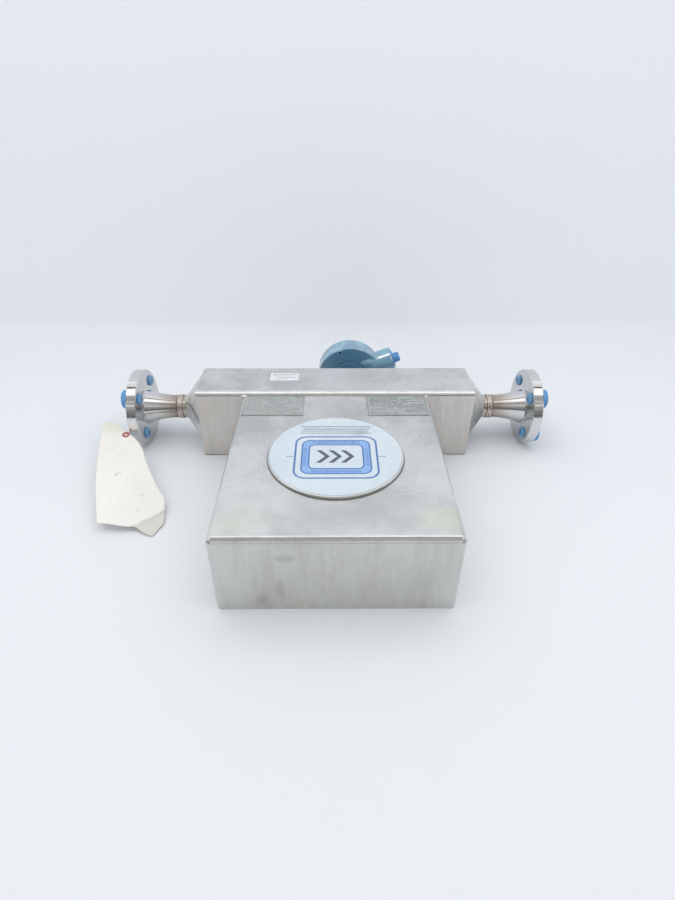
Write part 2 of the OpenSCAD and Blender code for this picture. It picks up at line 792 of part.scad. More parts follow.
// Draws along +Z what stands across the tag at its eyelet
module tag_eye_frame() {
    along = tag_point(tag_eye[0], tag_eye[1] + 0.05) - tag_point(tag_eye[0], tag_eye[1] - 0.05);
    across = tag_point(tag_eye[0] + 0.1, tag_eye[1]) - tag_point(tag_eye[0] - 0.1, tag_eye[1]);
    up = cross(along, across);
    translate(tag_point(tag_eye[0], tag_eye[1]))
        rotate([0, acos(up[2] / norm(up)), atan2(up[1], up[0])]) children();
}

module tag_eyelet() {
    color([0.70, 0.38, 0.33]) tag_eye_frame() difference() {
        cylinder(r = eyelet_r, h = 1.6, center = true);
        cylinder(r = 2.6, h = 3, center = true);
    }
}

case_pan();
case_base();
manifold_cover();
manifold_tray();
end_plate(-1);  // inlet_end_plate
end_plate(1);  // outlet_end_plate
end_cap(-1);  // inlet_end_cap
end_cap(1);  // outlet_end_cap
flange(-1);  // inlet_flange
flange(1);  // outlet_flange
welds(-1);  // inlet_welds
welds(1);  // outlet_welds
nozzle(-1);  // inlet_nozzle
nozzle(1);  // outlet_nozzle
splitter(-1);  // inlet_splitter
splitter(1);  // outlet_splitter
manifold_spacer();
flow_tube(1);  // upper_flow_tube
flow_tube(-1);  // lower_flow_tube
brace_bar(-1);  // inlet_brace_bar
brace_bar(1);  // outlet_brace_bar
magnet_unit(0, drive_y, 90);  // drive_magnet
coil_unit(0, drive_y, 90);  // drive_coil
magnet_unit(-bend_r, pickoff_y, 0);  // inlet_pickoff_magnet
coil_unit(-bend_r, pickoff_y, 0);  // inlet_pickoff_coil
magnet_unit(bend_r, pickoff_y, 0);  // outlet_pickoff_magnet
coil_unit(bend_r, pickoff_y, 0);  // outlet_pickoff_coil
coil_leads();
tube_rtd();
harness();
junction_neck();
feedthrough();
junction_body();
neck_screws();
terminal_block();
terminal_screws();
junction_wires();
cover_seal();
junction_cover();
ground_screw();
conduit_plug();
bolt_plugs(-1);  // inlet_bolt_plugs
bolt_plugs(1);  // outlet_bolt_plugs
round_label();
data_plate(-1);  // left_data_plate
data_plate(1);  // right_data_plate
stock_sticker();
paper_tag();
tag_eyelet();
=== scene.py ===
import math
import random

import bmesh
import bpy
from mathutils import Matrix, Vector


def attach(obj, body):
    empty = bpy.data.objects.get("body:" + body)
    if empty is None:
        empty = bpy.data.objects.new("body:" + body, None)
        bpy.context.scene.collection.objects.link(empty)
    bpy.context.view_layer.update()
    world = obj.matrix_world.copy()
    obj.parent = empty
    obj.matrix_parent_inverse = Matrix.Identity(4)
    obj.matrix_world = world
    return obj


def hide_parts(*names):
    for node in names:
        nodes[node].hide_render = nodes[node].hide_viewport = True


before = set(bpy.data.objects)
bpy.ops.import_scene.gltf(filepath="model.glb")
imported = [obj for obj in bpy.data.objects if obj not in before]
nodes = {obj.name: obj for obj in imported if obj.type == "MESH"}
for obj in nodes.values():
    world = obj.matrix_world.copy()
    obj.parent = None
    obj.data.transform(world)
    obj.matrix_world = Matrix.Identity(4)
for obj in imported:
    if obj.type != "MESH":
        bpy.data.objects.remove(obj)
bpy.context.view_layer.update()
mm = 0.001
axisHeight = 54 * mm    # the flow line above the resting plane


# Helpers for shader trees

def addNode(tree, kind, values=None, **settings):
    node = tree.nodes.new(kind)
    for name, value in settings.items():
        setattr(node, name, value)
    for socket, value in (values or {}).items():
        node.inputs[socket].default_value = value
    return node


def join(tree, source, target):
    tree.links.new(source, target)


def math2(tree, operation, a, b=0.0, clamp=False):
    node = addNode(tree, "ShaderNodeMath", operation=operation, use_clamp=clamp)
    for index, value in enumerate((a, b)):
        if isinstance(value, (int, float)):
            node.inputs[index].default_value = value
        else:
            join(tree, value, node.inputs[index])
    return node.outputs[0]


def mixColour(tree, factor, a, b, blend="MIX"):
    node = addNode(tree, "ShaderNodeMix", data_type="RGBA", blend_type=blend)
    for socket, value in ((node.inputs[0], factor), (node.inputs[6], a), (node.inputs[7], b)):
        if isinstance(value, (int, float)):
            socket.default_value = value
        elif isinstance(value, tuple):
            socket.default_value = (*value, 1)
        else:
            join(tree, value, socket)
    return node.outputs[2]


def mapRange(tree, value, low, high, toLow=0.0, toHigh=1.0, smooth=False):
    node = addNode(tree, "ShaderNodeMapRange", {1: low, 2: high, 3: toLow, 4: toHigh})
    if smooth:
        node.interpolation_type = "SMOOTHSTEP"
    join(tree, value, node.inputs[0])
    return node.outputs[0]


def noise(tree, place, scale, detail=3.0, rough=0.55):
    node = addNode(tree, "ShaderNodeTexNoise", {"Scale": scale, "Detail": detail, "Roughness": rough})
    join(tree, place, node.inputs["Vector"])
    return node.outputs[0]


def stretch(tree, place, scales):
    node = addNode(tree, "ShaderNodeMapping", {"Scale": scales})
    join(tree, place, node.inputs["Vector"])
    return node.outputs[0]


def newGroup(name, inputs, outputs):
    kinds = {"f": "NodeSocketFloat", "c": "NodeSocketColor", "v": "NodeSocketVector"}
    tree = bpy.data.node_groups.new(name, "ShaderNodeTree")
    for label, kind, default in inputs:
        socket = tree.interface.new_socket(label, in_out="INPUT", socket_type=kinds[kind])
        if default is not None:
            socket.default_value = default
    for label, kind in outputs:
        tree.interface.new_socket(label, in_out="OUTPUT", socket_type=kinds[kind])
    return tree, tree.nodes.new("NodeGroupInput"), tree.nodes.new("NodeGroupOutput")


def place(tree):
    return addNode(tree, "ShaderNodeTexCoord").outputs["Object"]


# Shared effects

def makeCloudGroup():
    # soft cloudy patches with hand marks: a colour between two, and a roughness
    tree, given, result = newGroup(
        "cloudySheet",
        [("Light", "c", (0.6, 0.6, 0.6, 1)), ("Dark", "c", (0.5, 0.5, 0.5, 1)), ("Size", "f", 10.0),
         ("Contrast", "f", 0.5), ("Rough Low", "f", 0.3), ("Rough High", "f", 0.45)],
        [("Color", "c"), ("Roughness", "f"), ("Mask", "f")])
    at = place(tree)
    broad = addNode(tree, "ShaderNodeTexNoise", {"Detail": 4.0, "Roughness": 0.6})
    join(tree, at, broad.inputs["Vector"])
    join(tree, given.outputs["Size"], broad.inputs["Scale"])
    marks = noise(tree, stretch(tree, at, (1, 1, 0.35)), 38, 5, 0.65)
    blend = math2(tree, "ADD", math2(tree, "MULTIPLY", broad.outputs[0], 0.8), math2(tree, "MULTIPLY", marks, 0.2))
    mask = mapRange(tree, blend, 0.36, 0.64, smooth=True)
    amount = math2(tree, "MULTIPLY", mask, given.outputs["Contrast"])
    colour = mixColour(tree, amount, given.outputs["Light"], given.outputs["Dark"])
    span = math2(tree, "SUBTRACT", given.outputs["Rough High"], given.outputs["Rough Low"])
    rough = math2(tree, "ADD", given.outputs["Rough Low"], math2(tree, "MULTIPLY", span, marks))
    join(tree, colour, result.inputs["Color"])
    join(tree, rough, result.inputs["Roughness"])
    join(tree, mask, result.inputs["Mask"])
    return tree


def makeGrainGroup():
    # fine directional grain: a value about 0.5, for bump and roughness
    tree, given, result = newGroup(
        "fineGrain",
        [("Along", "v", (1, 1, 1)), ("Scale", "f", 900.0), ("Strength", "f", 0.1), ("Distance", "f", 0.0002)],
        [("Value", "f"), ("Normal", "v")])
    mapping = addNode(tree, "ShaderNodeMapping")
    join(tree, place(tree), mapping.inputs["Vector"])
    join(tree, given.outputs["Along"], mapping.inputs["Scale"])
    fine = addNode(tree, "ShaderNodeTexNoise", {"Detail": 2.0})
    join(tree, mapping.outputs[0], fine.inputs["Vector"])
    join(tree, given.outputs["Scale"], fine.inputs["Scale"])
    bump = addNode(tree, "ShaderNodeBump")
    join(tree, fine.outputs[0], bump.inputs["Height"])
    join(tree, given.outputs["Strength"], bump.inputs["Strength"])
    join(tree, given.outputs["Distance"], bump.inputs["Distance"])
    join(tree, fine.outputs[0], result.inputs["Value"])
    join(tree, bump.outputs[0], result.inputs["Normal"])
    return tree


def makeHeatGroup():
    # straw, brown and blue bands either side of a weld, by distance along the flow line
    tree, given, result = newGroup(
        "heatTint",
        [("Base", "c", (0.6, 0.6, 0.6, 1)), ("Weld At", "f", 0.2265), ("Reach", "f", 0.02), ("Amount", "f", 1.0)],
        [("Color", "c"), ("Mask", "f")])
    at = place(tree)
    parts = addNode(tree, "ShaderNodeSeparateXYZ")
    join(tree, at, parts.inputs[0])
    away = math2(tree, "ABSOLUTE", math2(tree, "SUBTRACT", math2(tree, "ABSOLUTE", parts.outputs[0]),
                                         given.outputs["Weld At"]))
    wander = math2(tree, "MULTIPLY", math2(tree, "SUBTRACT", noise(tree, at, 70, 3), 0.5), 0.012)
    share = math2(tree, "DIVIDE", math2(tree, "ADD", away, wander), given.outputs["Reach"], clamp=True)
    ramp = addNode(tree, "ShaderNodeValToRGB")
    stops = [(0.0, (0.32, 0.235, 0.195)), (0.22, (0.40, 0.32, 0.265)), (0.45, (0.47, 0.40, 0.335)),
             (0.7, (0.55, 0.50, 0.435)), (1.0, (0.64, 0.625, 0.59))]
    while len(ramp.color_ramp.elements) < len(stops):
        ramp.color_ramp.elements.new(0.5)
    for element, (position, colour) in zip(ramp.color_ramp.elements, stops):
        element.position = position
        element.color = (*colour, 1)
    join(tree, share, ramp.inputs[0])
    mask = math2(tree, "MULTIPLY", math2(tree, "SUBTRACT", 1.0, share), given.outputs["Amount"], clamp=True)
    spread = math2(tree, "POWER", mask, 0.45)
    join(tree, mixColour(tree, spread, given.outputs["Base"], ramp.outputs[0]), result.inputs["Color"])
    join(tree, mask, result.inputs["Mask"])
    return tree


def makeStainGroup():
    # a soft blot about a centre, as a mask from 0 to 1
    tree, given, result = newGroup(
        "softStain",
        [("Centre", "v", (0, 0, 0)), ("Reach", "v", (0.02, 0.02, 0.02)), ("Ragged", "f", 0.5)],
        [("Mask", "f")])
    at = place(tree)
    apart = addNode(tree, "ShaderNodeVectorMath", operation="SUBTRACT")
    join(tree, at, apart.inputs[0])
    join(tree, given.outputs["Centre"], apart.inputs[1])
    scaled = addNode(tree, "ShaderNodeVectorMath", operation="DIVIDE")
    join(tree, apart.outputs[0], scaled.inputs[0])
    join(tree, given.outputs["Reach"], scaled.inputs[1])
    length = addNode(tree, "ShaderNodeVectorMath", operation="LENGTH")
    join(tree, scaled.outputs[0], length.inputs[0])
    fray = math2(tree, "MULTIPLY", math2(tree, "SUBTRACT", noise(tree, at, 85, 5, 0.65), 0.5),
                 given.outputs["Ragged"])
    spread = math2(tree, "ADD", length.outputs["Value"], math2(tree, "MULTIPLY", fray, 3.0))
    join(tree, mapRange(tree, spread, 1.0, 0.2, smooth=True), result.inputs["Mask"])
    return tree


cloudGroup = makeCloudGroup()
grainGroup = makeGrainGroup()
heatGroup = makeHeatGroup()
stainGroup = makeStainGroup()


def useGroup(tree, group, values):
    node = tree.nodes.new("ShaderNodeGroup")
    node.node_tree = group
    for socket, value in values.items():
        kind = node.inputs[socket].type
        node.inputs[socket].default_value = (*value, 1) if kind == "RGBA" else value
    return node


def newMaterial(name, **sockets):
    material = bpy.data.materials.new(name)
    material.use_nodes = True
    tree = material.node_tree
    shader = tree.nodes["Principled BSDF"]
    for socket, value in sockets.items():
        label = socket.replace("_", " ")
        shader.inputs[label].default_value = (*value, 1) if isinstance(value, tuple) else value
    return material, tree, shader


def dress(names, material):
    for name in names.split():
        mesh = nodes[name].data
        mesh.materials.clear()
        mesh.materials.append(material)


# Metals

sheetLook = {
    "light": (0.785, 0.795, 0.79), "dark": (0.575, 0.585, 0.575), "front": (0.635, 0.635, 0.60), "side": (0.665, 0.612, 0.56),
    # place and reach in millimetres, colour and strength of each blot
    "blots": [
        ((-96, -300, 100), (46, 34, 6), (0.80, 0.80, 0.66), 0.45), ((106, -296, 100), (34, 30, 6), (0.78, 0.79, 0.62), 0.55),
        ((4, -296, 100), (70, 26, 6), (0.56, 0.575, 0.58), 0.55), ((-104, -196, 100), (34, 72, 6), (0.84, 0.85, 0.85), 0.6),
        ((-30, -45, 104), (95, 22, 5), (0.58, 0.60, 0.61), 0.3),
        ((30, 2, 104), (190, 60, 6), (0.66, 0.67, 0.68), 0.35), ((0, -75, 100), (50, 34, 5), (0.60, 0.61, 0.625), 0.4),
        ((-49, -327.5, 76), (15, 4, 7), (0.36, 0.345, 0.31), 0.45), ((-76, -327.5, 15), (9, 4, 16), (0.42, 0.40, 0.36), 0.6),
        ((-57, -327.5, 30), (7, 4, 22), (0.44, 0.42, 0.38), 0.5), ((-38, -327.5, 10), (12, 4, 9), (0.66, 0.56, 0.46), 0.5),
        ((86, -327.5, 48), (26, 4, 30), (0.50, 0.51, 0.51), 0.4)]}


def sheetSteel():
    material, tree, shader = newMaterial("sheetSteel", Metallic=1.0)
    cloud = useGroup(tree, cloudGroup, {"Light": sheetLook["light"], "Dark": sheetLook["dark"], "Size": 13.0,
                                        "Contrast": 1.0, "Rough Low": 0.18, "Rough High": 0.42})
    grain = useGroup(tree, grainGroup, {"Along": (1, 1, 1), "Scale": 1000.0, "Strength": 0.02, "Distance": 0.0001})
    at = place(tree)
    parts = addNode(tree, "ShaderNodeSeparateXYZ")
    join(tree, at, parts.inputs[0])
    face = addNode(tree, "ShaderNodeNewGeometry")
    turned = addNode(tree, "ShaderNodeSeparateXYZ")
    join(tree, face.outputs["Normal"], turned.inputs[0])
    # painted shade and painted reflection: faces turned to the front get a darker, warmer colour, warmest on the
    # manifold's front
    front = mapRange(tree, turned.outputs[1], -0.3, -0.9)
    far = mapRange(tree, parts.outputs[1], -0.11, -0.09)
    tint = mixColour(tree, far, sheetLook["front"], sheetLook["side"])
    frontShadedColour = mixColour(tree, math2(tree, "MULTIPLY", front, 0.85), cloud.outputs["Color"], tint)
    smears = mapRange(tree, noise(tree, stretch(tree, at, (1, 1, 0.16)), 75, 6, 0.7), 0.40, 0.68, smooth=True)
    colour = mixColour(tree, math2(tree, "MULTIPLY", math2(tree, "MULTIPLY", smears, front), 0.33), frontShadedColour,
                       (0.44, 0.42, 0.385))
    brushed = mapRange(tree, noise(tree, stretch(tree, at, (0.18, 1, 1)), 240, 4, 0.7), 0.35, 0.7)
    colour = mixColour(tree, math2(tree, "MULTIPLY", brushed, 0.22), colour, sheetLook["dark"])
    for spot, reach, stain, strength in sheetLook["blots"]:
        blot = useGroup(tree, stainGroup, {"Centre": [v * mm for v in spot], "Reach": [v * mm for v in reach],
                                           "Ragged": 0.5})
        colour = mixColour(tree, math2(tree, "MULTIPLY", blot.outputs[0], strength), colour, stain)
    join(tree, colour, shader.inputs["Base Color"])
    join(tree, cloud.outputs["Roughness"], shader.inputs["Roughness"])
    join(tree, grain.outputs["Normal"], shader.inputs["Normal"])
    return material


def turnedSteel():
    # fine rings from the lathe, tinted near the butt weld
    material, tree, shader = newMaterial("turnedSteel", Metallic=1.0)
    tint = useGroup(tree, heatGroup, {"Base": (0.71, 0.71, 0.705), "Weld At": 0.2265, "Reach": 0.034, "Amount": 1.0})
    at = place(tree)
    parts = addNode(tree, "ShaderNodeSeparateXYZ")
    join(tree, at, parts.inputs[0])
    level = math2(tree, "SUBTRACT", parts.outputs[2], axisHeight)
    radius = math2(tree, "SQRT", math2(tree, "ADD", math2(tree, "POWER", level, 2.0),
                                       math2(tree, "POWER", parts.outputs[1], 2.0)))
    pair = addNode(tree, "ShaderNodeCombineXYZ")
    join(tree, parts.outputs[0], pair.inputs[0])
    join(tree, radius, pair.inputs[1])
    rings = noise(tree, pair.outputs[0], 2600, 2)
    bump = addNode(tree, "ShaderNodeBump", {"Strength": 0.14, "Distance": 0.0001})
    join(tree, rings, bump.inputs["Height"])
    rough = mapRange(tree, noise(tree, at, 55, 4), 0.3, 0.7, 0.07, 0.17)
    rougher = math2(tree, "ADD", rough, math2(tree, "MULTIPLY", tint.outputs["Mask"], 0.14))
    face = addNode(tree, "ShaderNodeNewGeometry")
    turned = addNode(tree, "ShaderNodeSeparateXYZ")
    join(tree, face.outputs["Normal"], turned.inputs[0])
    endOn = mapRange(tree, math2(tree, "ABSOLUTE", turned.outputs[0]), 0.85, 0.97)
    colour = mixColour(tree, math2(tree, "MULTIPLY", endOn, 0.8), tint.outputs["Color"], (0.53, 0.535, 0.535))
    join(tree, colour, shader.inputs["Base Color"])
    join(tree, rougher, shader.inputs["Roughness"])
    join(tree, bump.outputs[0], shader.inputs["Normal"])
    return material


def nozzlePipe():
    material, tree, shader = newMaterial("nozzlePipe", Metallic=1.0)
    tint = useGroup(tree, heatGroup, {"Base": (0.66, 0.65, 0.61), "Weld At": 0.2265, "Reach": 0.012, "Amount": 1.0})
    grain = useGroup(tree, grainGroup, {"Along": (1, 1, 1), "Scale": 700.0, "Strength": 0.2, "Distance": 0.0002})
    rough = mapRange(tree, noise(tree, place(tree), 120, 4), 0.3, 0.7, 0.18, 0.32)
    join(tree, tint.outputs["Color"], shader.inputs["Base Color"])
    join(tree, rough, shader.inputs["Roughness"])
    join(tree, grain.outputs["Normal"], shader.inputs["Normal"])
    return material


def weldMetal():
    look = {"middle": 0.2261, "bands": [(0.0, (0.33, 0.235, 0.21)), (0.16, (0.68, 0.63, 0.57)), (0.42, (0.66, 0.59, 0.52)),
            (0.62, (0.30, 0.20, 0.185)), (0.78, (0.20, 0.125, 0.12)), (1.0, (0.60, 0.56, 0.51))], "reach": 0.0060}
    material, tree, shader = newMaterial("weldMetal", Metallic=1.0)
    at = place(tree)
    parts = addNode(tree, "ShaderNodeSeparateXYZ")
    join(tree, at, parts.inputs[0])
    along = math2(tree, "ABSOLUTE", parts.outputs[0])
    wander = math2(tree, "MULTIPLY", math2(tree, "SUBTRACT", noise(tree, at, 110, 3), 0.5), 0.0022)
    away = math2(tree, "ADD", math2(tree, "ABSOLUTE", math2(tree, "SUBTRACT", along, look["middle"])), wander)
    ramp = addNode(tree, "ShaderNodeValToRGB")
    stops = ramp.color_ramp.elements
    while len(stops) < len(look["bands"]):
        stops.new(0.5)
    for stop, (position, colour) in zip(stops, look["bands"]):
        stop.position = position
        stop.color = (*colour, 1)
    join(tree, math2(tree, "DIVIDE", away, look["reach"], clamp=True), ramp.inputs[0])
    join(tree, ramp.outputs[0], shader.inputs["Base Color"])
    join(tree, mapRange(tree, noise(tree, at, 160, 4), 0.35, 0.65, 0.16, 0.34), shader.inputs["Roughness"])
    grain = useGroup(tree, grainGroup, {"Along": (1, 1, 1), "Scale": 1500.0, "Strength": 0.2, "Distance": 0.0001})
    join(tree, grain.outputs["Normal"], shader.inputs["Normal"])
    return material


def plainSteel(name, light, dark, roughLow, roughHigh, size=60.0):
    material, tree, shader = newMaterial(name, Metallic=1.0)
    cloud = useGroup(tree, cloudGroup, {"Light": light, "Dark": dark, "Size": size, "Contrast": 0.8,
                                        "Rough Low": roughLow, "Rough High": roughHigh})
    grain = useGroup(tree, grainGroup, {"Along": (1, 1, 1), "Scale": 1100.0, "Strength": 0.25, "Distance": 0.0002})
    join(tree, cloud.outputs["Color"], shader.inputs["Base Color"])
    join(tree, cloud.outputs["Roughness"], shader.inputs["Roughness"])
    join(tree, grain.outputs["Normal"], shader.inputs["Normal"])
    return material


def capSteel():
    # painted shade: a dark line runs down the near side of the inlet cone, and the outlet cone is streaked and painted
    # darker low down
    look = {"light": (0.88, 0.885, 0.87), "dark": (0.66, 0.665, 0.65), "shadeLine": (0.22, 0.225, 0.21),
            "shade": (0.20, 0.20, 0.205), "tip": 0.216, "long": 0.025, "from": 46.0, "turn": 41.0}
    material, tree, shader = newMaterial("capSteel", Metallic=0.68)
    cloud = useGroup(tree, cloudGroup, {"Light": look["light"], "Dark": look["dark"], "Size": 95.0, "Contrast": 0.9,
                                        "Rough Low": 0.34, "Rough High": 0.55})
    grain = useGroup(tree, grainGroup, {"Along": (1, 1, 1), "Scale": 1100.0, "Strength": 0.25, "Distance": 0.0002})
    at = place(tree)
    parts = addNode(tree, "ShaderNodeSeparateXYZ")
    join(tree, at, parts.inputs[0])
    level = math2(tree, "SUBTRACT", parts.outputs[2], axisHeight)
    turn = math2(tree, "MULTIPLY", math2(tree, "ARCTAN2", level, math2(tree, "MULTIPLY", parts.outputs[1], -1.0)),
                 57.296)
    share = math2(tree, "DIVIDE", math2(tree, "SUBTRACT", look["tip"], math2(tree, "ABSOLUTE", parts.outputs[0])),
                  look["long"])
    line = math2(tree, "SUBTRACT", look["from"], math2(tree, "MULTIPLY", share, look["turn"]))
    wander = math2(tree, "MULTIPLY", math2(tree, "SUBTRACT", noise(tree, at, 130, 3), 0.5), 16.0)
    past = math2(tree, "ADD", math2(tree, "SUBTRACT", turn, line), wander)
    shadeLine = mapRange(tree, math2(tree, "ABSOLUTE", past), 7.0, 1.5, smooth=True)
    inlet = math2(tree, "LESS_THAN", parts.outputs[0], 0.0)
    colour = mixColour(tree, math2(tree, "MULTIPLY", math2(tree, "MULTIPLY", shadeLine, inlet), 0.62),
                       cloud.outputs["Color"], look["shadeLine"])
    # painted shade: darker towards the bottom of the outlet cone, broken by streaks
    low = mapRange(tree, math2(tree, "ADD", turn, wander), 34.0, -6.0, smooth=True)
    streaks = mapRange(tree, noise(tree, stretch(tree, at, (0.25, 1, 1)), 260, 4, 0.7), 0.35, 0.62)
    shaded = math2(tree, "MULTIPLY", low, math2(tree, "ADD", 0.35, math2(tree, "MULTIPLY", streaks, 0.65)))
    outlet = math2(tree, "SUBTRACT", 1.0, inlet)
    colour = mixColour(tree, math2(tree, "MULTIPLY", math2(tree, "MULTIPLY", shaded, outlet), 0.9), colour,
                       look["shade"])
    join(tree, colour, shader.inputs["Base Color"])
    join(tree, cloud.outputs["Roughness"], shader.inputs["Roughness"])
    join(tree, grain.outputs["Normal"], shader.inputs["Normal"])
    return material


# Paints, plastics, paper

boxLook = {"centre": (24.3, 54.0), "conduit": 21.0, "hub": 19.0, "collar": 30.0, "face": 91.0,
           "screw": (8.4, 97.7)}


def boxPaint():
    material, tree, shader = newMaterial("boxPaint", Coat_Weight=1.0, Coat_Roughness=0.08, Coat_IOR=2.0)
    at = place(tree)
    parts = addNode(tree, "ShaderNodeSeparateXYZ")
    join(tree, at, parts.inputs[0])
    dust = mapRange(tree, noise(tree, at, 45, 5, 0.65), 0.40, 0.70, smooth=True)
    face = addNode(tree, "ShaderNodeNewGeometry")
    turned = addNode(tree, "ShaderNodeSeparateXYZ")
    join(tree, face.outputs["Normal"], turned.inputs[0])
    # dust and painted light: faces turned up are paler, part settled dust and part painted light from above
    upward = mapRange(tree, turned.outputs[2], 0.1, 0.9)
    dustAndTopLight = math2(tree, "MULTIPLY", math2(tree, "ADD", math2(tree, "MULTIPLY", upward, 0.80), 0.10), dust)
    paint = mixColour(tree, noise(tree, at, 18, 2), (0.078, 0.208, 0.335), (0.106, 0.252, 0.39))
    colour = mixColour(tree, dustAndTopLight, paint, (0.225, 0.485, 0.635))
    # painted light and painted shade: the conduit hub is painted a paler blue, as lit from above, and the neck's
    # collar is painted dark, as shade
    x = math2(tree, "SUBTRACT", parts.outputs[0], boxLook["centre"][0] * mm)
    z = math2(tree, "SUBTRACT", parts.outputs[2], boxLook["centre"][1] * mm)
    lean = math.radians(boxLook["conduit"])
    along = math2(tree, "ADD", math2(tree, "MULTIPLY", x, math.cos(lean)), math2(tree, "MULTIPLY", z, math.sin(lean)))
    across = math2(tree, "SUBTRACT", math2(tree, "MULTIPLY", z, math.cos(lean)),
                   math2(tree, "MULTIPLY", x, math.sin(lean)))
    inside = mapRange(tree, math2(tree, "ABSOLUTE", across), (boxLook["hub"] + 0.6) * mm, boxLook["hub"] * mm)
    hub = math2(tree, "MULTIPLY", inside, mapRange(tree, along, 28 * mm, 36 * mm, smooth=True))
    hub = math2(tree, "MULTIPLY", hub, mapRange(tree, turned.outputs[1], -0.999, -0.98))
    colour = mixColour(tree, math2(tree, "MULTIPLY", hub, 0.65), colour, (0.155, 0.375, 0.515))
    radius = math2(tree, "SQRT", math2(tree, "ADD", math2(tree, "POWER", x, 2.0), math2(tree, "POWER", z, 2.0)))
    collar = math2(tree, "MULTIPLY", mapRange(tree, radius, (boxLook["collar"] + 0.5) * mm, boxLook["collar"] * mm),
                   mapRange(tree, parts.outputs[1], (boxLook["face"] + 0.4) * mm, (boxLook["face"] - 0.2) * mm))
    rim = mapRange(tree, math2(tree, "ABSOLUTE", turned.outputs[1]), 0.9, 0.6)
    colour = mixColour(tree, math2(tree, "MULTIPLY", collar, rim), colour, (0.045, 0.115, 0.18))
    join(tree, math2(tree, "SUBTRACT", 1.0, collar), shader.inputs["Coat Weight"])
    # painted highlight: a thin near-white, partly metallic line on the hub's upper near side, where a highlight falls
    paintedHighlightStreak = mapRange(tree, math2(tree, "ABSOLUTE", math2(tree, "ADD", turned.outputs[1], 0.616)), 0.085, 0.045,
                      smooth=True)
    paintedHighlightStreak = math2(tree, "MULTIPLY", math2(tree, "MULTIPLY", paintedHighlightStreak, hub),
                   math2(tree, "GREATER_THAN", turned.outputs[2], 0.0))
    paintedHighlightStreak = math2(tree, "MULTIPLY", paintedHighlightStreak, mapRange(tree, along, 50 * mm, 56 * mm, smooth=True))
    join(tree, mixColour(tree, paintedHighlightStreak, colour, (0.80, 0.88, 0.93)), shader.inputs["Base Color"])
    join(tree, math2(tree, "MULTIPLY", paintedHighlightStreak, 0.7), shader.inputs["Metallic"])
    join(tree, mapRange(tree, dust, 0, 1, 0.28, 0.42), shader.inputs["Roughness"])
    peel = addNode(tree, "ShaderNodeBump", {"Strength": 0.14, "Distance": 0.0003})
    join(tree, noise(tree, at, 650, 2), peel.inputs["Height"])
    join(tree, peel.outputs[0], shader.inputs["Normal"])
    return material


def screwPaint():
    # blue like the box, with a painted highlight on the rim and painted shade in the socket
    material, tree, shader = newMaterial("screwPaint", Coat_Weight=0.6, Coat_Roughness=0.15)
    at = place(tree)
    apart = addNode(tree, "ShaderNodeVectorMath", operation="SUBTRACT")
    join(tree, at, apart.inputs[0])
    apart.inputs[1].default_value = (boxLook["screw"][0] * mm, 0.0, boxLook["screw"][1] * mm)
    flat = addNode(tree, "ShaderNodeVectorMath", operation="MULTIPLY")
    join(tree, apart.outputs[0], flat.inputs[0])
    flat.inputs[1].default_value = (1.0, 0.0, 1.0)
    away = addNode(tree, "ShaderNodeVectorMath", operation="LENGTH")
    join(tree, flat.outputs[0], away.inputs[0])
    paint = mixColour(tree, noise(tree, at, 400, 3), (0.08, 0.19, 0.29), (0.12, 0.25, 0.36))
    rim = mapRange(tree, away.outputs["Value"], 3.2 * mm, 3.8 * mm, smooth=True)
    socket = mapRange(tree, away.outputs["Value"], 2.1 * mm, 1.4 * mm, smooth=True)
    colour = mixColour(tree, math2(tree, "MULTIPLY", rim, 0.8), paint, (0.38, 0.53, 0.64))
    join(tree, mixColour(tree, socket, colour, (0.022, 0.05, 0.085)), shader.inputs["Base Color"])
    join(tree, mapRange(tree, noise(tree, at, 300, 2), 0.3, 0.7, 0.3, 0.45), shader.inputs["Roughness"])
    return material


def plugPlastic():
    # painted shade and painted highlight: the closed tips behind the ring are darker in the middle, inside a pale rim
    material, tree, shader = newMaterial("plugPlastic", Specular_IOR_Level=0.5)
    at = place(tree)
    parts = addNode(tree, "ShaderNodeSeparateXYZ")
    join(tree, at, parts.inputs[0])
    cloud = mapRange(tree, noise(tree, at, 90, 3), 0.35, 0.65, smooth=True)
    colour = mixColour(tree, cloud, (0.085, 0.275, 0.55), (0.12, 0.33, 0.62))
    boltAt = 79.4 / 2 * math.cos(math.pi / 4) * mm
    y = math2(tree, "SUBTRACT", math2(tree, "ABSOLUTE", parts.outputs[1]), boltAt)
    z = math2(tree, "SUBTRACT", math2(tree, "ABSOLUTE", math2(tree, "SUBTRACT", parts.outputs[2], axisHeight)), boltAt)
    away = math2(tree, "SQRT", math2(tree, "ADD", math2(tree, "POWER", y, 2.0), math2(tree, "POWER", z, 2.0)))
    behind = mapRange(tree, math2(tree, "ABSOLUTE", parts.outputs[0]), 277 * mm, 276 * mm)
    middle = math2(tree, "MULTIPLY", mapRange(tree, away, 6.0 * mm, 3.5 * mm, smooth=True), behind)
    rim = math2(tree, "MULTIPLY", math2(tree, "MULTIPLY", mapRange(tree, away, 5.6 * mm, 6.6 * mm, smooth=True),
                                        mapRange(tree, away, 9.5 * mm, 8.5 * mm)), behind)
    colour = mixColour(tree, math2(tree, "MULTIPLY", middle, 0.65), colour, (0.035, 0.115, 0.25))
    colour = mixColour(tree, math2(tree, "MULTIPLY", rim, 0.35), colour, (0.26, 0.47, 0.66))
    join(tree, colour, shader.inputs["Base Color"])
    join(tree, mapRange(tree, cloud, 0, 1, 0.22, 0.36), shader.inputs["Roughness"])
    bump = addNode(tree, "ShaderNodeBump", {"Strength": 0.12, "Distance": 0.0002})
    join(tree, noise(tree, at, 900, 2), bump.inputs["Height"])
    join(tree, bump.outputs[0], shader.inputs["Normal"])
    return material


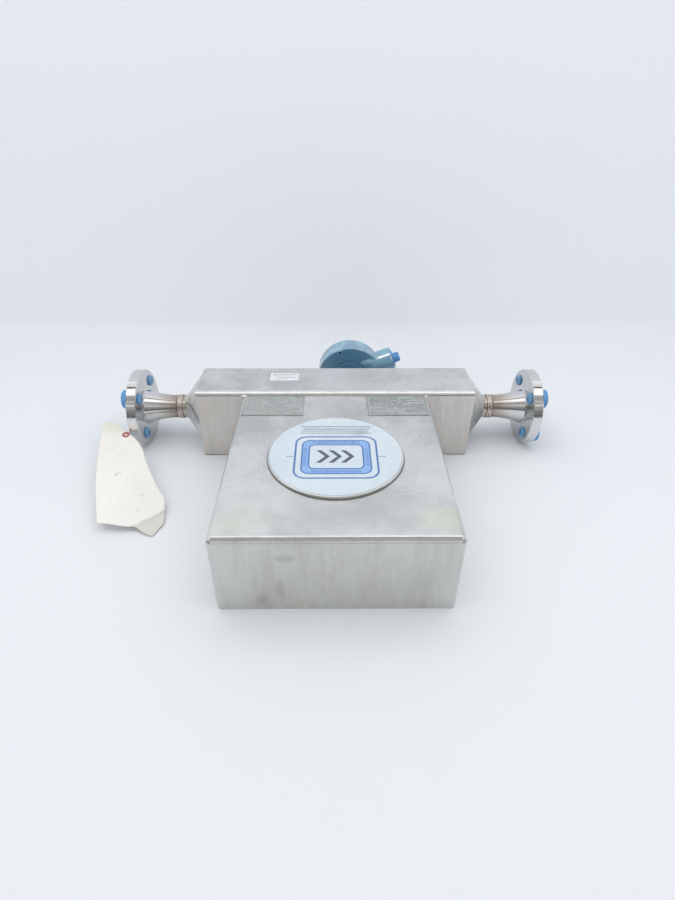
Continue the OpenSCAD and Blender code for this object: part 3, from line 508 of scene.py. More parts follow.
def softPlastic(name, light, dark, rough=0.3, scale=90.0):
    material, tree, shader = newMaterial(name, Specular_IOR_Level=0.5)
    at = place(tree)
    patch = mapRange(tree, noise(tree, at, scale, 3), 0.35, 0.65, smooth=True)
    join(tree, mixColour(tree, patch, light, dark), shader.inputs["Base Color"])
    join(tree, mapRange(tree, patch, 0, 1, rough - 0.06, rough + 0.08), shader.inputs["Roughness"])
    bump = addNode(tree, "ShaderNodeBump", {"Strength": 0.12, "Distance": 0.0002})
    join(tree, noise(tree, at, 900, 2), bump.inputs["Height"])
    join(tree, bump.outputs[0], shader.inputs["Normal"])
    return material


def labelFilm():
    material, tree, shader = newMaterial("labelFilm", Coat_Weight=0.3, Coat_Roughness=0.12)
    at = place(tree)
    patch = mapRange(tree, noise(tree, at, 22, 4), 0.35, 0.65, smooth=True)
    film = mixColour(tree, patch, (0.63, 0.715, 0.765), (0.59, 0.675, 0.73))
    smudge = useGroup(tree, stainGroup, {"Centre": (0.028, -0.148, 0.1037), "Reach": (0.015, 0.008, 0.004),
                                         "Ragged": 0.5})
    join(tree, mixColour(tree, math2(tree, "MULTIPLY", smudge.outputs[0], 0.5), film, (0.36, 0.41, 0.44)),
         shader.inputs["Base Color"])
    join(tree, mapRange(tree, noise(tree, at, 160, 3), 0.3, 0.7, 0.22, 0.36), shader.inputs["Roughness"])
    bump = addNode(tree, "ShaderNodeBump", {"Strength": 0.1, "Distance": 0.0004})
    join(tree, noise(tree, at, 60, 2), bump.inputs["Height"])
    join(tree, bump.outputs[0], shader.inputs["Normal"])
    return material


def plateMetal():
    material, tree, shader = newMaterial("plateMetal", Metallic=0.85)
    cloud = useGroup(tree, cloudGroup, {"Light": (0.57, 0.585, 0.57), "Dark": (0.48, 0.495, 0.48), "Size": 55.0,
                                        "Contrast": 0.9, "Rough Low": 0.34, "Rough High": 0.52})
    grain = useGroup(tree, grainGroup, {"Along": (0.06, 1, 1), "Scale": 2600.0, "Strength": 0.25,
                                        "Distance": 0.0001})
    join(tree, cloud.outputs["Color"], shader.inputs["Base Color"])
    join(tree, cloud.outputs["Roughness"], shader.inputs["Roughness"])
    join(tree, grain.outputs["Normal"], shader.inputs["Normal"])
    return material


def cardPaper(name, light, dark, rough=0.8):
    material, tree, shader = newMaterial(name, Specular_IOR_Level=0.25)
    at = place(tree)
    fibre = noise(tree, at, 420, 4, 0.7)
    stain = mapRange(tree, noise(tree, at, 16, 4), 0.4, 0.7, smooth=True)
    base = mixColour(tree, stain, light, dark)
    flecks = mapRange(tree, noise(tree, at, 130, 1), 0.80, 0.84)
    join(tree, mixColour(tree, math2(tree, "MULTIPLY", flecks, 0.6), base, (0.30, 0.28, 0.26)),
         shader.inputs["Base Color"])
    join(tree, mapRange(tree, fibre, 0.2, 0.8, rough - 0.08, rough + 0.08), shader.inputs["Roughness"])
    creases = mapRange(tree, noise(tree, stretch(tree, at, (1, 0.5, 1)), 26, 2), 0.44, 0.5, smooth=True)
    height = math2(tree, "ADD", math2(tree, "MULTIPLY", fibre, 0.25), math2(tree, "MULTIPLY", creases, 0.6))
    bump = addNode(tree, "ShaderNodeBump", {"Strength": 0.25, "Distance": 0.0006})
    join(tree, height, bump.inputs["Height"])
    join(tree, bump.outputs[0], shader.inputs["Normal"])
    return material


tagPaint = {"fold": (-233.5, -194.3), "shade": (0.70, 0.685, 0.63), "line": (0.52, 0.50, 0.45),
            # the first blot is painted shade on the bent-back top of the card; the others are patches
            "blots": [((-322, -42, 46), (30, 20, 16), (0.80, 0.78, 0.66), 0.85),
                      ((-291, -90, 38), (16, 13, 12), (0.78, 0.75, 0.70), 0.35),
                      ((-226, -150, 4), (13, 34, 16), (0.83, 0.81, 0.75), 0.5)]}


def tagPaper():
    # painted shade: the folded corner is darker past a diagonal crease, with a darker line along it
    material, tree, shader = newMaterial("tagCard", Specular_IOR_Level=0.25)
    at = place(tree)
    fibre = noise(tree, at, 420, 4, 0.7)
    stain = mapRange(tree, noise(tree, at, 16, 4), 0.4, 0.7, smooth=True)
    colour = mixColour(tree, stain, (0.90, 0.875, 0.83), (0.85, 0.825, 0.765))
    for spot, reach, tone, strength in tagPaint["blots"]:
        blot = useGroup(tree, stainGroup, {"Centre": [v * mm for v in spot], "Reach": [v * mm for v in reach],
                                           "Ragged": 0.25})
        colour = mixColour(tree, math2(tree, "MULTIPLY", blot.outputs[0], strength), colour, tone)
    parts = addNode(tree, "ShaderNodeSeparateXYZ")
    join(tree, at, parts.inputs[0])
    x = math2(tree, "SUBTRACT", parts.outputs[0], tagPaint["fold"][0] * mm)
    y = math2(tree, "SUBTRACT", parts.outputs[1], tagPaint["fold"][1] * mm)
    past = math2(tree, "MULTIPLY", math2(tree, "SUBTRACT", x, y), 0.7071)
    folded = mapRange(tree, past, -0.6 * mm, 1.2 * mm, smooth=True)
    colour = mixColour(tree, folded, colour, tagPaint["shade"])
    shadeLine = mapRange(tree, math2(tree, "ABSOLUTE", past), 1.3 * mm, 0.2 * mm, smooth=True)
    broken = mapRange(tree, noise(tree, at, 90, 2), 0.35, 0.6)
    colour = mixColour(tree, math2(tree, "MULTIPLY", math2(tree, "MULTIPLY", shadeLine, broken), 0.45), colour,
                       tagPaint["line"])
    join(tree, colour, shader.inputs["Base Color"])
    join(tree, mapRange(tree, fibre, 0.2, 0.8, 0.72, 0.88), shader.inputs["Roughness"])
    creases = mapRange(tree, noise(tree, stretch(tree, at, (1, 0.5, 1)), 26, 2), 0.44, 0.5, smooth=True)
    height = math2(tree, "ADD", math2(tree, "MULTIPLY", fibre, 0.25), math2(tree, "MULTIPLY", creases, 0.8))
    bump = addNode(tree, "ShaderNodeBump", {"Strength": 0.35, "Distance": 0.0008})
    join(tree, height, bump.inputs["Height"])
    join(tree, bump.outputs[0], shader.inputs["Normal"])
    return material


def ink(name, colour, rough=0.4):
    material, tree, shader = newMaterial(name)
    fade = mapRange(tree, noise(tree, place(tree), 240, 3), 0.3, 0.7, 0.0, 0.25)
    paler = tuple(min(1, c * 1.25 + 0.05) for c in colour)
    join(tree, mixColour(tree, fade, colour, paler), shader.inputs["Base Color"])
    join(tree, mapRange(tree, fade, 0, 0.25, rough - 0.05, rough + 0.1), shader.inputs["Roughness"])
    return material


# Mesh helpers

def newPiece(name, material, body="root"):
    mesh = bpy.data.meshes.new(name)
    piece = bpy.data.objects.new(name, mesh)
    bpy.context.scene.collection.objects.link(piece)
    mesh.materials.append(material)
    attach(piece, body)
    return piece


def fill(piece, shape, smooth=True):
    for facet in shape.faces:
        facet.smooth = smooth
    shape.to_mesh(piece.data)
    shape.free()


def gridFaces(shape, rows, closeAround=False, closeAlong=False):
    count = len(rows)
    for i in range(count if closeAlong else count - 1):
        row, after = rows[i], rows[(i + 1) % count]
        width = len(row)
        for j in range(width if closeAround else width - 1):
            shape.faces.new((row[j], row[(j + 1) % width], after[(j + 1) % width], after[j]))


# Welds

weldLook = {"pipeR": 16.7, "buttAt": (223.9, 228.3), "buttHalf": 2.5, "rise": 0.9, "capAt": 216.0, "capLeg": 3.4,
            "ripples": 54}


def weldRing(shape, side, centre, half, rise, phase, lean=0.0):
    steps, across = 324, 10
    rows = []
    for i in range(steps):
        turn = 2 * math.pi * i / steps
        beat = (weldLook["ripples"] * turn / (2 * math.pi) + phase) % 1.0
        lap = 1 - beat ** 2
        wander = 0.35 * math.sin(3 * turn + phase) + 0.2 * math.sin(7 * turn + 2 * phase)
        row = []
        for j in range(across + 1):
            t = 2 * j / across - 1
            body = math.sqrt(max(0.0, 1 - t * t))
            height = rise * body * (0.78 + 0.22 * lap) - 0.25 * (1 - body)
            swept = centre + half * t + wander + 0.45 * body * lap
            lift = lean * (1 - t) / 2
            radius = (weldLook["pipeR"] + height + lift) * mm
            row.append(shape.verts.new((side * swept * mm, radius * math.cos(turn),
                                        axisHeight + radius * math.sin(turn))))
        rows.append(row)
    gridFaces(shape, rows, closeAlong=True)


def makeWelds(side, name, material):
    piece = newPiece(name + "WeldBeads", material)
    shape = bmesh.new()
    for index, centre in enumerate(weldLook["buttAt"]):
        weldRing(shape, side, centre, weldLook["buttHalf"], weldLook["rise"], 0.37 * index)
    weldRing(shape, side, weldLook["capAt"] + 0.6, 1.9, 0.3, 0.2, lean=1.4)
    bmesh.ops.recalc_face_normals(shape, faces=shape.faces)
    fill(piece, shape)
    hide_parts(name + "_welds")


# Print on the label, the plates and the sticker

def outline(width, depth, radius, steps=10):
    points = []
    for quarter, (sx, sy) in enumerate(((1, 1), (-1, 1), (-1, -1), (1, -1))):
        for i in range(steps + 1):
            turn = math.pi / 2 * (quarter + i / steps)
            points.append((sx * (width / 2 - radius) + radius * math.cos(turn),
                           sy * (depth / 2 - radius) + radius * math.sin(turn)))
    return points


def stripLoop(shape, centre, level, outer, inner):
    rings = [[shape.verts.new(((centre[0] + x) * mm, (centre[1] + y) * mm, level * mm)) for x, y in ring]
             for ring in (inner, outer)]
    gridFaces(shape, rings, closeAround=True)


def patch(shape, centre, level, points):
    shape.faces.new([shape.verts.new(((centre[0] + x) * mm, (centre[1] + y) * mm, level * mm)) for x, y in points])


def bar(shape, centre, level, width, depth):
    patch(shape, centre, level, [(-width / 2, -depth / 2), (width / 2, -depth / 2), (width / 2, depth / 2),
                                 (-width / 2, depth / 2)])


labelLook = {"x": 0.4, "y": -196.0, "level": 103.74, "frame": (96, 82, 14), "band": (80, 66, 10),
             "window": (62, 46, 6), "frameLine": 2.2, "bandLine": 1.7, "strip": (86, 15, 55.5)}


def rimLoop(shape, centre, level, size, line):
    stripLoop(shape, centre, level, outline(*size), outline(size[0] - 2 * line, size[1] - 2 * line, size[2] - line))


def makeLabelPrint(blue, pale, grey):
    centre = (labelLook["x"], labelLook["y"])
    level = labelLook["level"]
    band, window = labelLook["band"], labelLook["window"]
    line = labelLook["bandLine"]
    shape = bmesh.new()
    rimLoop(shape, centre, level, labelLook["frame"], labelLook["frameLine"])
    rimLoop(shape, centre, level + 0.03, band, line)
    rimLoop(shape, centre, level + 0.03, tuple(v + line for v in window), line)
    # graduations along the band, and a short rule each side of the frame
    for i in range(-11, 12):
        tall = 6.0 if i % 4 == 0 else 4.0
        for side in (-1, 1):
            bar(shape, (centre[0] + i * 2.4, centre[1] + side * (band[1] + window[1]) / 4), level + 0.03, 1.0, tall)
    for i in range(-5, 6):
        for side in (-1, 1):
            bar(shape, (centre[0] + side * (band[0] + window[0]) / 4, centre[1] + i * 3.2), level + 0.03, 4.0, 1.0)
    for side in (-1, 1):
        bar(shape, (centre[0] + side * 53, centre[1]), level, 9, 0.9)
    fill(newPiece("labelBluePrint", blue), shape, smooth=False)
    shape = bmesh.new()
    stripLoop(shape, centre, level, outline(*band), outline(*window))
    fill(newPiece("labelPalePrint", pale), shape, smooth=False)
    shape = bmesh.new()
    # a flow arrow of three chevrons, and a hatched band above the frame
    for x in (-13, 1, 15):
        patch(shape, (centre[0] + x, centre[1]), level, [(-4, 12), (6, 0), (-4, -12), (-9.8, -12), (0.2, 0), (-9.8, 12)])
    wide, tall, up = labelLook["strip"]
    for side in (-1, 1):
        bar(shape, (centre[0], centre[1] + up + side * tall / 2), level, wide, 1.0)
    for i in range(-14, 15):
        patch(shape, (centre[0] + i * 2.8, centre[1] + up), level,
              [(x + 0.5 * y, y) for x, y in ((-0.4, -4.8), (0.4, -4.8), (0.4, 4.8), (-0.4, 4.8))])
    fill(newPiece("labelGreyPrint", grey), shape, smooth=False)


plateLook = {"y": -77.0, "level": 100.83, "sides": {
    "left": {"x": -81.5, "rows": 9, "step": 4.8, "weights": (0.8, 1.1, 1.5), "filled": 0.75, "longest": 14},
    "right": {"x": 81.5, "rows": 13, "step": 3.2, "weights": (0.8, 1.2, 1.6), "filled": 0.9, "longest": 24}}}


def makePlateEtching(inks):
    rng = random.Random(7)
    level = plateLook["level"]
    for side, look in plateLook["sides"].items():
        shape = bmesh.new()
        centre = (look["x"], plateLook["y"])
        stripLoop(shape, centre, level, outline(78, 46, 1.5), outline(76.4, 44.4, 1.1))
        for row in range(look["rows"]):
            y = centre[1] + 19 - row * look["step"]
            x = centre[0] - 36
            while x < centre[0] + 34:
                length = min(rng.uniform(4, look["longest"]), centre[0] + 37 - x)
                if length > 2 and rng.random() < look["filled"]:
                    bar(shape, (x + length / 2, y), level, length, rng.choice(look["weights"]))
                x += length + rng.uniform(1.2, 3.2)
        fill(newPiece(side + "PlateEtching", inks[side]), shape, smooth=False)


def makeStickerPrint(material):
    shape = bmesh.new()
    for i, (x, length) in enumerate(((0, 34), (-4, 26), (3, 28), (-6, 20))):
        bar(shape, (-72 + x, 4 - i * 4.6), 104.23, length, 1.5)
    fill(newPiece("stickerPrint", material), shape, smooth=False)


# Paper tag: the same sheet as the solid, finer, with a crease, a wavy fall and pen marks

tagLook = {"corner": (-331.8, -36.2), "turn": 13.1, "lift": 47.5, "width": 81, "long": 182, "thick": 0.5, "rise": 4.5, "seenFrom": (-2.9, -700.8, 470.3), "rows": 110,
           "columns": 48, "eye": (0.857, 0.1624), "hole": 3.0,
           "edge": [(0, 0.15), (0.1, 0.34), (0.16, 0.45), (0.24, 0.58), (0.32, 0.67), (0.42, 0.71), (0.62, 0.87),
                    (0.72, 0.99), (0.9, 0.96), (1, 0.81)],
           "marks": [((0.33, 0.545), (0.355, 0.562)), ((0.355, 0.562), (0.40, 0.53)), ((0.425, 0.548), (0.44, 0.551)),
                     ((0.66, 0.72), (0.68, 0.725)), ((0.30, 0.30), (0.315, 0.303)), ((0.60, 0.86), (0.612, 0.864)),
                     ((0.22, 0.80), (0.23, 0.803)), ((0.52, 0.60), (0.55, 0.604))]}


def smoothStep(t):
    t = min(1.0, max(0.0, t))
    return t * t * (3 - 2 * t)


def tagEdge(share):
    edge = tagLook["edge"]
    for (low, a), (high, b) in zip(edge, edge[1:]):
        if share <= high:
            return a + (b - a) * (share - low) / (high - low)
    return edge[-1][1]


def tagPoint(a, b):
    wide = tagEdge(b)
    u = a * tagLook["width"] * wide - (1 - a) * 6 * math.sin(math.pi * b)
    v = b * (tagLook["long"] + 19 * smoothStep((a * wide - 0.5) / 0.3) - 8 * smoothStep((0.5 - a * wide) / 0.5))
    fall = max(0.0, 1 - v / (tagLook["long"] + 4)) ** 1.2
    height = 9 + (tagLook["lift"] - 9 + 4 * u / tagLook["width"]) * fall
    height -= 9.5 * smoothStep(((u - tagLook["width"] / 2) + (v - 0.7 * tagLook["long"])) / 92)
    # the folded corner past the crease, and faint waves
    past = (u - 60) * 0.62 + (v - 172) * 0.78
    height -= 3.4 * smoothStep(past / 7) * smoothStep((height - 0.5) / 4)
    height += 0.7 * math.sin(v / 17 + u / 31) * math.sin(u / 23 + 0.6) * smoothStep((height - 1) / 6)
    height = max(tagLook["thick"] * 0.6, height)
    turn = math.radians(tagLook["turn"])
    spot = Vector((tagLook["corner"][0] + u * math.cos(turn) + v * math.sin(turn),
                   tagLook["corner"][1] + u * math.sin(turn) - v * math.cos(turn), height))
    # the lower edge stands off the floor, apart from the folded corner
    rise = tagLook["rise"] * smoothStep((b - 0.55) / 0.4) * (1 - 0.7 * smoothStep((a - 0.7) / 0.3) * smoothStep((b - 0.8) / 0.2))
    eyePoint = Vector(tagLook["seenFrom"])
    return (spot + (eyePoint - spot) * rise / (eyePoint.z - spot.z)) * mm


def makeTag(card, pen):
    piece = newPiece("tagSheet", card)
    shape = bmesh.new()
    rows, columns = tagLook["rows"], tagLook["columns"]
    half = tagLook["thick"] * mm / 2
    eye = tagPoint(*tagLook["eye"])
    layers = []
    for side in (1, -1):
        layers.append([[shape.verts.new(tagPoint(j / columns, i / rows) + Vector((0, 0, side * half)))
                        for j in range(columns + 1)] for i in range(rows + 1)])
    # no paper inside the eyelet
    open_ = set()
    for i in range(rows):
        for j in range(columns):
            middle = tagPoint((j + 0.5) / columns, (i + 0.5) / rows)
            if (middle - eye).length < tagLook["hole"] * mm:
                open_.add((i, j))
                continue
            for layer, order in zip(layers, ((0, 1, 2, 3), (3, 2, 1, 0))):
                ring = (layer[i][j], layer[i + 1][j], layer[i + 1][j + 1], layer[i][j + 1])
                shape.faces.new([ring[k] for k in order])
    loops = [[(i, 0) for i in range(rows + 1)], [(i, columns) for i in range(rows + 1)],
             [(0, j) for j in range(columns + 1)], [(rows, j) for j in range(columns + 1)]]
    for loop in loops:
        for (i, j), (k, m) in zip(loop, loop[1:]):
            shape.faces.new((layers[0][i][j], layers[0][k][m], layers[1][k][m], layers[1][i][j]))
    bmesh.ops.recalc_face_normals(shape, faces=shape.faces)
    fill(piece, shape)
    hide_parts("paper_tag")
    marks = newPiece("tagMarks", pen)
    shape = bmesh.new()
    for start, end in tagLook["marks"]:
        a, b = (tagPoint(*point) + Vector((0, 0, half + 0.15 * mm)) for point in (start, end))
        across = (b - a).cross(Vector((0, 0, 1))).normalized() * 0.35 * mm
        shape.faces.new([shape.verts.new(point) for point in (a - across, b - across, b + across, a + across)])
    fill(marks, shape, smooth=False)


# Small marks on the case: painted shade in a ring round the label's seat, thin bright lines and tack welds

caseLook = {"seat": (0, -189.3), "shadeRing": (78.6, 79.5), "top": 100.0,
            "brightLines": [((83, -105.6), (125, -105.9)), ((82, -121.9), (122, -122.3)), ((62, -262), (96, -252)),
                          ((-101, -232), (-84, -240))],
            "tacks": [((-124, -51.5, 99.5), (4.5, 3.2, 2.4)), ((124.5, -51.5, 99.0), (3.0, 2.4, 2.0))]}


def makeCaseMarks(shade, brightLine, bead):
    # painted shade: a dark ring at the foot of the label's seat
    shape = bmesh.new()
    rings = []
    for radius in caseLook["shadeRing"]:
        rings.append([shape.verts.new(((caseLook["seat"][0] + radius * math.cos(2 * math.pi * i / 160)) * mm,
                                       (caseLook["seat"][1] + radius * math.sin(2 * math.pi * i / 160)) * mm,
                                       (caseLook["top"] + 0.05) * mm)) for i in range(160)])
    gridFaces(shape, rings, closeAround=True)
    fill(newPiece("seatShadeRing", shade), shape, smooth=False)
    shape = bmesh.new()
    # thin bright lines on the case top
    for start, end in caseLook["brightLines"]:
        a, b = (Vector((x, y, caseLook["top"] + 0.04)) for x, y in (start, end))
        across = (b - a).cross(Vector((0, 0, 1))).normalized() * 0.28
        shape.faces.new([shape.verts.new(point * mm) for point in (a - across, b - across, b + across, a + across)])
    fill(newPiece("caseBrightLines", brightLine), shape, smooth=False)
    shape = bmesh.new()
    for spot, size in caseLook["tacks"]:
        rows = []
        for i in range(9):
            up = math.pi / 2 * i / 8
            rows.append([shape.verts.new(((spot[0] + size[0] * math.cos(up) * math.cos(t)) * mm,
                                          (spot[1] + size[1] * math.cos(up) * math.sin(t)) * mm,
                                          (spot[2] + size[2] * math.sin(up)) * mm))
                         for t in (2 * math.pi * k / 20 for k in range(20))])
        gridFaces(shape, rows, closeAround=True)
    bmesh.ops.recalc_face_normals(shape, faces=shape.faces)
    fill(newPiece("tackWelds", bead), shape)


# Front folds, rubbed bright: their shading turns over a wider band than the folds themselves.
# Each profile row is y, z and the lean of the surface's normal above the horizontal.

foldLook = {
    "manifoldFoldEdge": {"half": 190.6, "profile": [
        (-41.5, 104.08, 88), (-43.0, 104.12, 74), (-44.5, 104.14, 61), (-46.5, 104.15, 55), (-48.09, 103.83, 52),
        (-49.44, 102.94, 45), (-50.33, 101.59, 34), (-50.65, 100.3, 14), (-50.65, 99.2, 10)]},
    "caseFoldEdge": {"half": 121.0, "profile": [
        (-320.4, 100.06, 88), (-321.8, 100.09, 70), (-323.0, 100.1, 57), (-324.57, 99.82, 50), (-325.64, 99.27, 43)]},
    "caseFoldUnder": {"half": 121.0, "profile": [
        (-325.64, 99.27, 15), (-326.25, 98.75, 9), (-326.77, 98.14, 2), (-327.17, 97.44, 0), (-327.44, 96.69, 0)]}}


def makeFoldEdge(name, metal):
    look = foldLook[name]
    piece = newPiece(name, metal)
    shape = bmesh.new()
    steps = 48
    rows, leans = [], []
    for i in range(steps + 1):
        x = (2 * i / steps - 1) * look["half"]
        rows.append([shape.verts.new((x * mm, y * mm, z * mm)) for y, z, lean in look["profile"]])
        leans += [math.radians(lean) for y, z, lean in look["profile"]]
    gridFaces(shape, rows)
    fill(piece, shape)
    if piece.data.polygons[0].normal.z < 0:
        piece.data.flip_normals()
    piece.data.normals_split_custom_set_from_vertices([(0, -math.cos(lean), math.sin(lean)) for lean in leans])


# Lights, floor, camera

def makeStage():
    look = {"half": 4.0, "near": -3.0, "wall": 0.34, "cove": 0.05, "tall": 1.1, "floor": (0.812, 0.832, 0.857),
            "wallColour": (0.875, 0.892, 0.92)}
    shape = bmesh.new()
    profile = [(look["near"], 0.0), (look["wall"] - look["cove"], 0.0)]
    for i in range(1, 13):
        turn = math.pi / 2 * i / 12
        profile.append((look["wall"] - look["cove"] + look["cove"] * math.sin(turn),
                        look["cove"] * (1 - math.cos(turn))))
    profile.append((look["wall"], look["tall"]))
    rows = [[shape.verts.new((x, y, z)) for y, z in profile] for x in (-look["half"], look["half"])]
    gridFaces(shape, rows)
    mesh = bpy.data.meshes.new("paperSweep")
    sweep = bpy.data.objects.new("paperSweep", mesh)
    bpy.context.scene.collection.objects.link(sweep)
    for facet in shape.faces:
        facet.smooth = True
        facet.normal_flip()
    shape.to_mesh(mesh)
    shape.free()
    material, tree, shader = newMaterial("sweepPaper", Roughness=0.9, Specular_IOR_Level=0.1)
    parts = addNode(tree, "ShaderNodeSeparateXYZ")
    join(tree, place(tree), parts.inputs[0])
    rise = mapRange(tree, parts.outputs[2], 0.0, 0.05, smooth=True)
    paper = mixColour(tree, rise, look["floor"], look["wallColour"])
    # in reflections the paper ends a little way in front of the part
    rays = addNode(tree, "ShaderNodeLightPath")
    beyond = mapRange(tree, parts.outputs[1], -0.52, -0.72, smooth=True)
    mirrored = math2(tree, "MULTIPLY", beyond, rays.outputs["Is Glossy Ray"])
    join(tree, mixColour(tree, mirrored, paper, (0.13, 0.14, 0.13)), shader.inputs["Base Color"])
    # seen from behind, the paper is clear, so that it hides nothing
    seen = addNode(tree, "ShaderNodeNewGeometry")
    clear = addNode(tree, "ShaderNodeBsdfTransparent")
    choice = addNode(tree, "ShaderNodeMixShader")
    join(tree, seen.outputs["Backfacing"], choice.inputs[0])
    join(tree, shader.outputs[0], choice.inputs[1])
    join(tree, clear.outputs[0], choice.inputs[2])
    output = next(node for node in tree.nodes if node.type == "OUTPUT_MATERIAL")
    join(tree, choice.outputs[0], output.inputs["Surface"])
    mesh.materials.append(material)


def makeLamp(name, size, spot, target, radiance):
    data = bpy.data.lights.new(name, "AREA")
    data.shape = "RECTANGLE"
    data.size, data.size_y = size
    data.energy = radiance * math.pi * size[0] * size[1]
    lamp = bpy.data.objects.new(name, data)
    lamp.location = spot
    lamp.rotation_euler = (Vector(target) - Vector(spot)).to_track_quat("-Z", "Y").to_euler()
    bpy.context.scene.collection.objects.link(lamp)
    return lamp


def makeLights():
    look = {"plain": (0.75, 0.76, 0.78), "reflected": [(0.0, 0.10), (0.50, 0.10), (0.54, 0.26), (0.60, 0.22),
            (0.62, 0.30), (0.68, 0.42), (0.72, 0.36), (0.735, 0.95), (0.765, 0.95), (0.775, 0.26), (0.80, 0.26),
            (0.81, 0.85), (0.828, 0.80), (0.838, 0.34), (0.87, 0.42), (0.94, 0.52), (0.95, 0.03), (1.0, 0.03)]}
    world = bpy.data.worlds.new("studio")
    world.use_nodes = True
    tree = world.node_tree
    background = tree.nodes["Background"]
    at = addNode(tree, "ShaderNodeTexCoord").outputs["Generated"]
    parts = addNode(tree, "ShaderNodeSeparateXYZ")
    join(tree, at, parts.inputs[0])
    # what polished steel mirrors of the room in front: bands of window and of darker fittings
    ramp = addNode(tree, "ShaderNodeValToRGB")
    stops = ramp.color_ramp.elements
    while len(stops) < len(look["reflected"]):
        stops.new(0.5)
    for stop, (position, level) in zip(stops, look["reflected"]):
        stop.position = position
        stop.color = (level, level, level * 1.01, 1)
    join(tree, mapRange(tree, parts.outputs[2], -1.0, 1.0), ramp.inputs[0])
    rays = addNode(tree, "ShaderNodeLightPath")
    front = mapRange(tree, parts.outputs[1], 0.1, -0.25, smooth=True)
    above = mapRange(tree, parts.outputs[2], 0.88, 0.90)
    mirrored = math2(tree, "MULTIPLY", math2(tree, "MAXIMUM", front, above), rays.outputs["Is Glossy Ray"])
    join(tree, mixColour(tree, mirrored, look["plain"], ramp.outputs[0]), background.inputs["Color"])
    bpy.context.scene.world = world
    makeLamp("ceilingSoftbox", (3.2, 1.0), (0.0, 0.50, 1.5), (0.0, 0.1, 0.0), 0.92)
    makeLamp("frontSoftbox", (2.2, 0.52), (0.0, -0.38, 1.38), (0.0, -0.05, 0.06), 1.42)


def makeCamera():
    look = {"spot": (-2.87, -700.79, 470.27), "pitch": 35.678, "yaw": -0.550, "roll": -0.217,
            "lens": 21.848, "shiftUp": 0.00383}
    pitch, yaw, roll = (math.radians(look[k]) for k in ("pitch", "yaw", "roll"))
    side = Vector((math.cos(yaw), math.sin(yaw), 0))
    ahead = Vector((-math.sin(yaw), math.cos(yaw), 0))
    forward = ahead * math.cos(pitch) - Vector((0, 0, math.sin(pitch)))
    up = ahead * math.sin(pitch) + Vector((0, 0, math.cos(pitch)))
    right = side * math.cos(roll) - up * math.sin(roll)
    top = side * math.sin(roll) + up * math.cos(roll)
    data = bpy.data.cameras.new("photoCamera")
    data.sensor_width = 36
    data.lens = look["lens"]
    data.shift_y = look["shiftUp"]
    data.clip_start = 0.01
    camera = bpy.data.objects.new("photoCamera", data)
    matrix = Matrix((right, top, -forward)).transposed().to_4x4()
    matrix.translation = Vector(look["spot"]) * mm
    camera.matrix_world = matrix
    bpy.context.scene.collection.objects.link(camera)
    bpy.context.scene.camera = camera


print("stage: camera, lights and floor")
makeCamera()
makeLights()
makeStage()

print("stage: finishes")
sheetFinish = sheetSteel()
dress("case_pan case_base manifold_cover manifold_tray inlet_end_plate outlet_end_plate", sheetFinish)
dress("inlet_end_cap outlet_end_cap", capSteel())
dress("inlet_flange outlet_flange", turnedSteel())
dress("inlet_nozzle outlet_nozzle", nozzlePipe())
dress("inlet_splitter outlet_splitter manifold_spacer",
      plainSteel("castSteel", (0.52, 0.52, 0.52), (0.40, 0.40, 0.40), 0.4, 0.6))
dress("upper_flow_tube lower_flow_tube inlet_brace_bar outlet_brace_bar tube_rtd",
      plainSteel("drawnSteel", (0.62, 0.62, 0.63), (0.52, 0.52, 0.52), 0.2, 0.35))
dress("neck_screws terminal_screws feedthrough",
      plainSteel("fastenerSteel", (0.62, 0.62, 0.62), (0.45, 0.45, 0.45), 0.25, 0.4, 300.0))
dress("junction_neck junction_body junction_cover", boxPaint())
dress("conduit_plug inlet_bolt_plugs outlet_bolt_plugs", plugPlastic())
dress("ground_screw", screwPaint())
dress("drive_magnet inlet_pickoff_magnet outlet_pickoff_magnet",
      softPlastic("magnetCoat", (0.05, 0.05, 0.055), (0.09, 0.09, 0.10), 0.45))
dress("drive_coil inlet_pickoff_coil outlet_pickoff_coil",
      softPlastic("coilWinding", (0.35, 0.12, 0.04), (0.25, 0.08, 0.03), 0.4, 500.0))
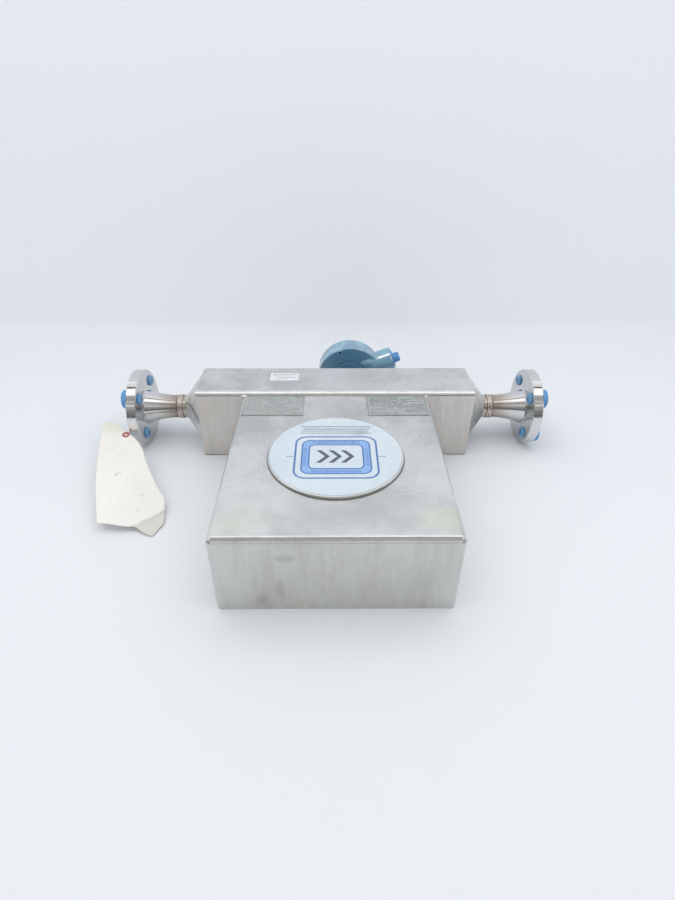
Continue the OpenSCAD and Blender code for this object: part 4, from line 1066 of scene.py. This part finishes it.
dress("coil_leads harness junction_wires", softPlastic("leadSleeve", (0.45, 0.18, 0.06), (0.36, 0.13, 0.05), 0.5))
dress("terminal_block", softPlastic("blockPlastic", (0.04, 0.10, 0.06), (0.05, 0.13, 0.08), 0.5))
dress("cover_seal", softPlastic("sealRubber", (0.02, 0.02, 0.02), (0.03, 0.03, 0.03), 0.6))
dress("round_label", labelFilm())
dress("left_data_plate right_data_plate", plateMetal())
dress("stock_sticker", cardPaper("stickerPaper", (0.80, 0.81, 0.84), (0.74, 0.75, 0.79), 0.5))
cardFinish = tagPaper()
dress("paper_tag", cardFinish)
dress("tag_eyelet", softPlastic("eyeletFibre", (0.50, 0.17, 0.12), (0.42, 0.13, 0.09), 0.7, 260.0))

print("stage: welds and print")
weldFinish = weldMetal()
makeWelds(-1, "inlet", weldFinish)
makeWelds(1, "outlet", weldFinish)
makeLabelPrint(ink("blueInk", (0.07, 0.16, 0.42)), ink("paleInk", (0.25, 0.42, 0.74)), ink("greyInk", (0.09, 0.10, 0.13)))
makePlateEtching({"left": ink("etchedFaint", (0.27, 0.285, 0.275), 0.6), "right": ink("etchedDark", (0.17, 0.185, 0.19), 0.6)})
makeStickerPrint(ink("stickerInk", (0.30, 0.31, 0.34), 0.6))

print("stage: fold, tag and small marks")
foldFinish = plainSteel("foldSteel", (0.78, 0.78, 0.77), (0.66, 0.66, 0.65), 0.18, 0.28, 40.0)
makeFoldEdge("manifoldFoldEdge", foldFinish)
makeFoldEdge("caseFoldEdge", foldFinish)
makeFoldEdge("caseFoldUnder", sheetFinish)
makeTag(cardFinish, ink("penInk", (0.22, 0.20, 0.22), 0.7))
makeCaseMarks(plainSteel("seatShadeSteel", (0.26, 0.25, 0.24), (0.18, 0.175, 0.17), 0.5, 0.7),
              plainSteel("brightLineSteel", (0.92, 0.92, 0.92), (0.80, 0.80, 0.80), 0.2, 0.35),
              plainSteel("tackSteel", (0.80, 0.82, 0.78), (0.62, 0.64, 0.60), 0.18, 0.3, 240.0))

bpy.context.scene.view_settings.view_transform = "Standard"
print("stage: done")
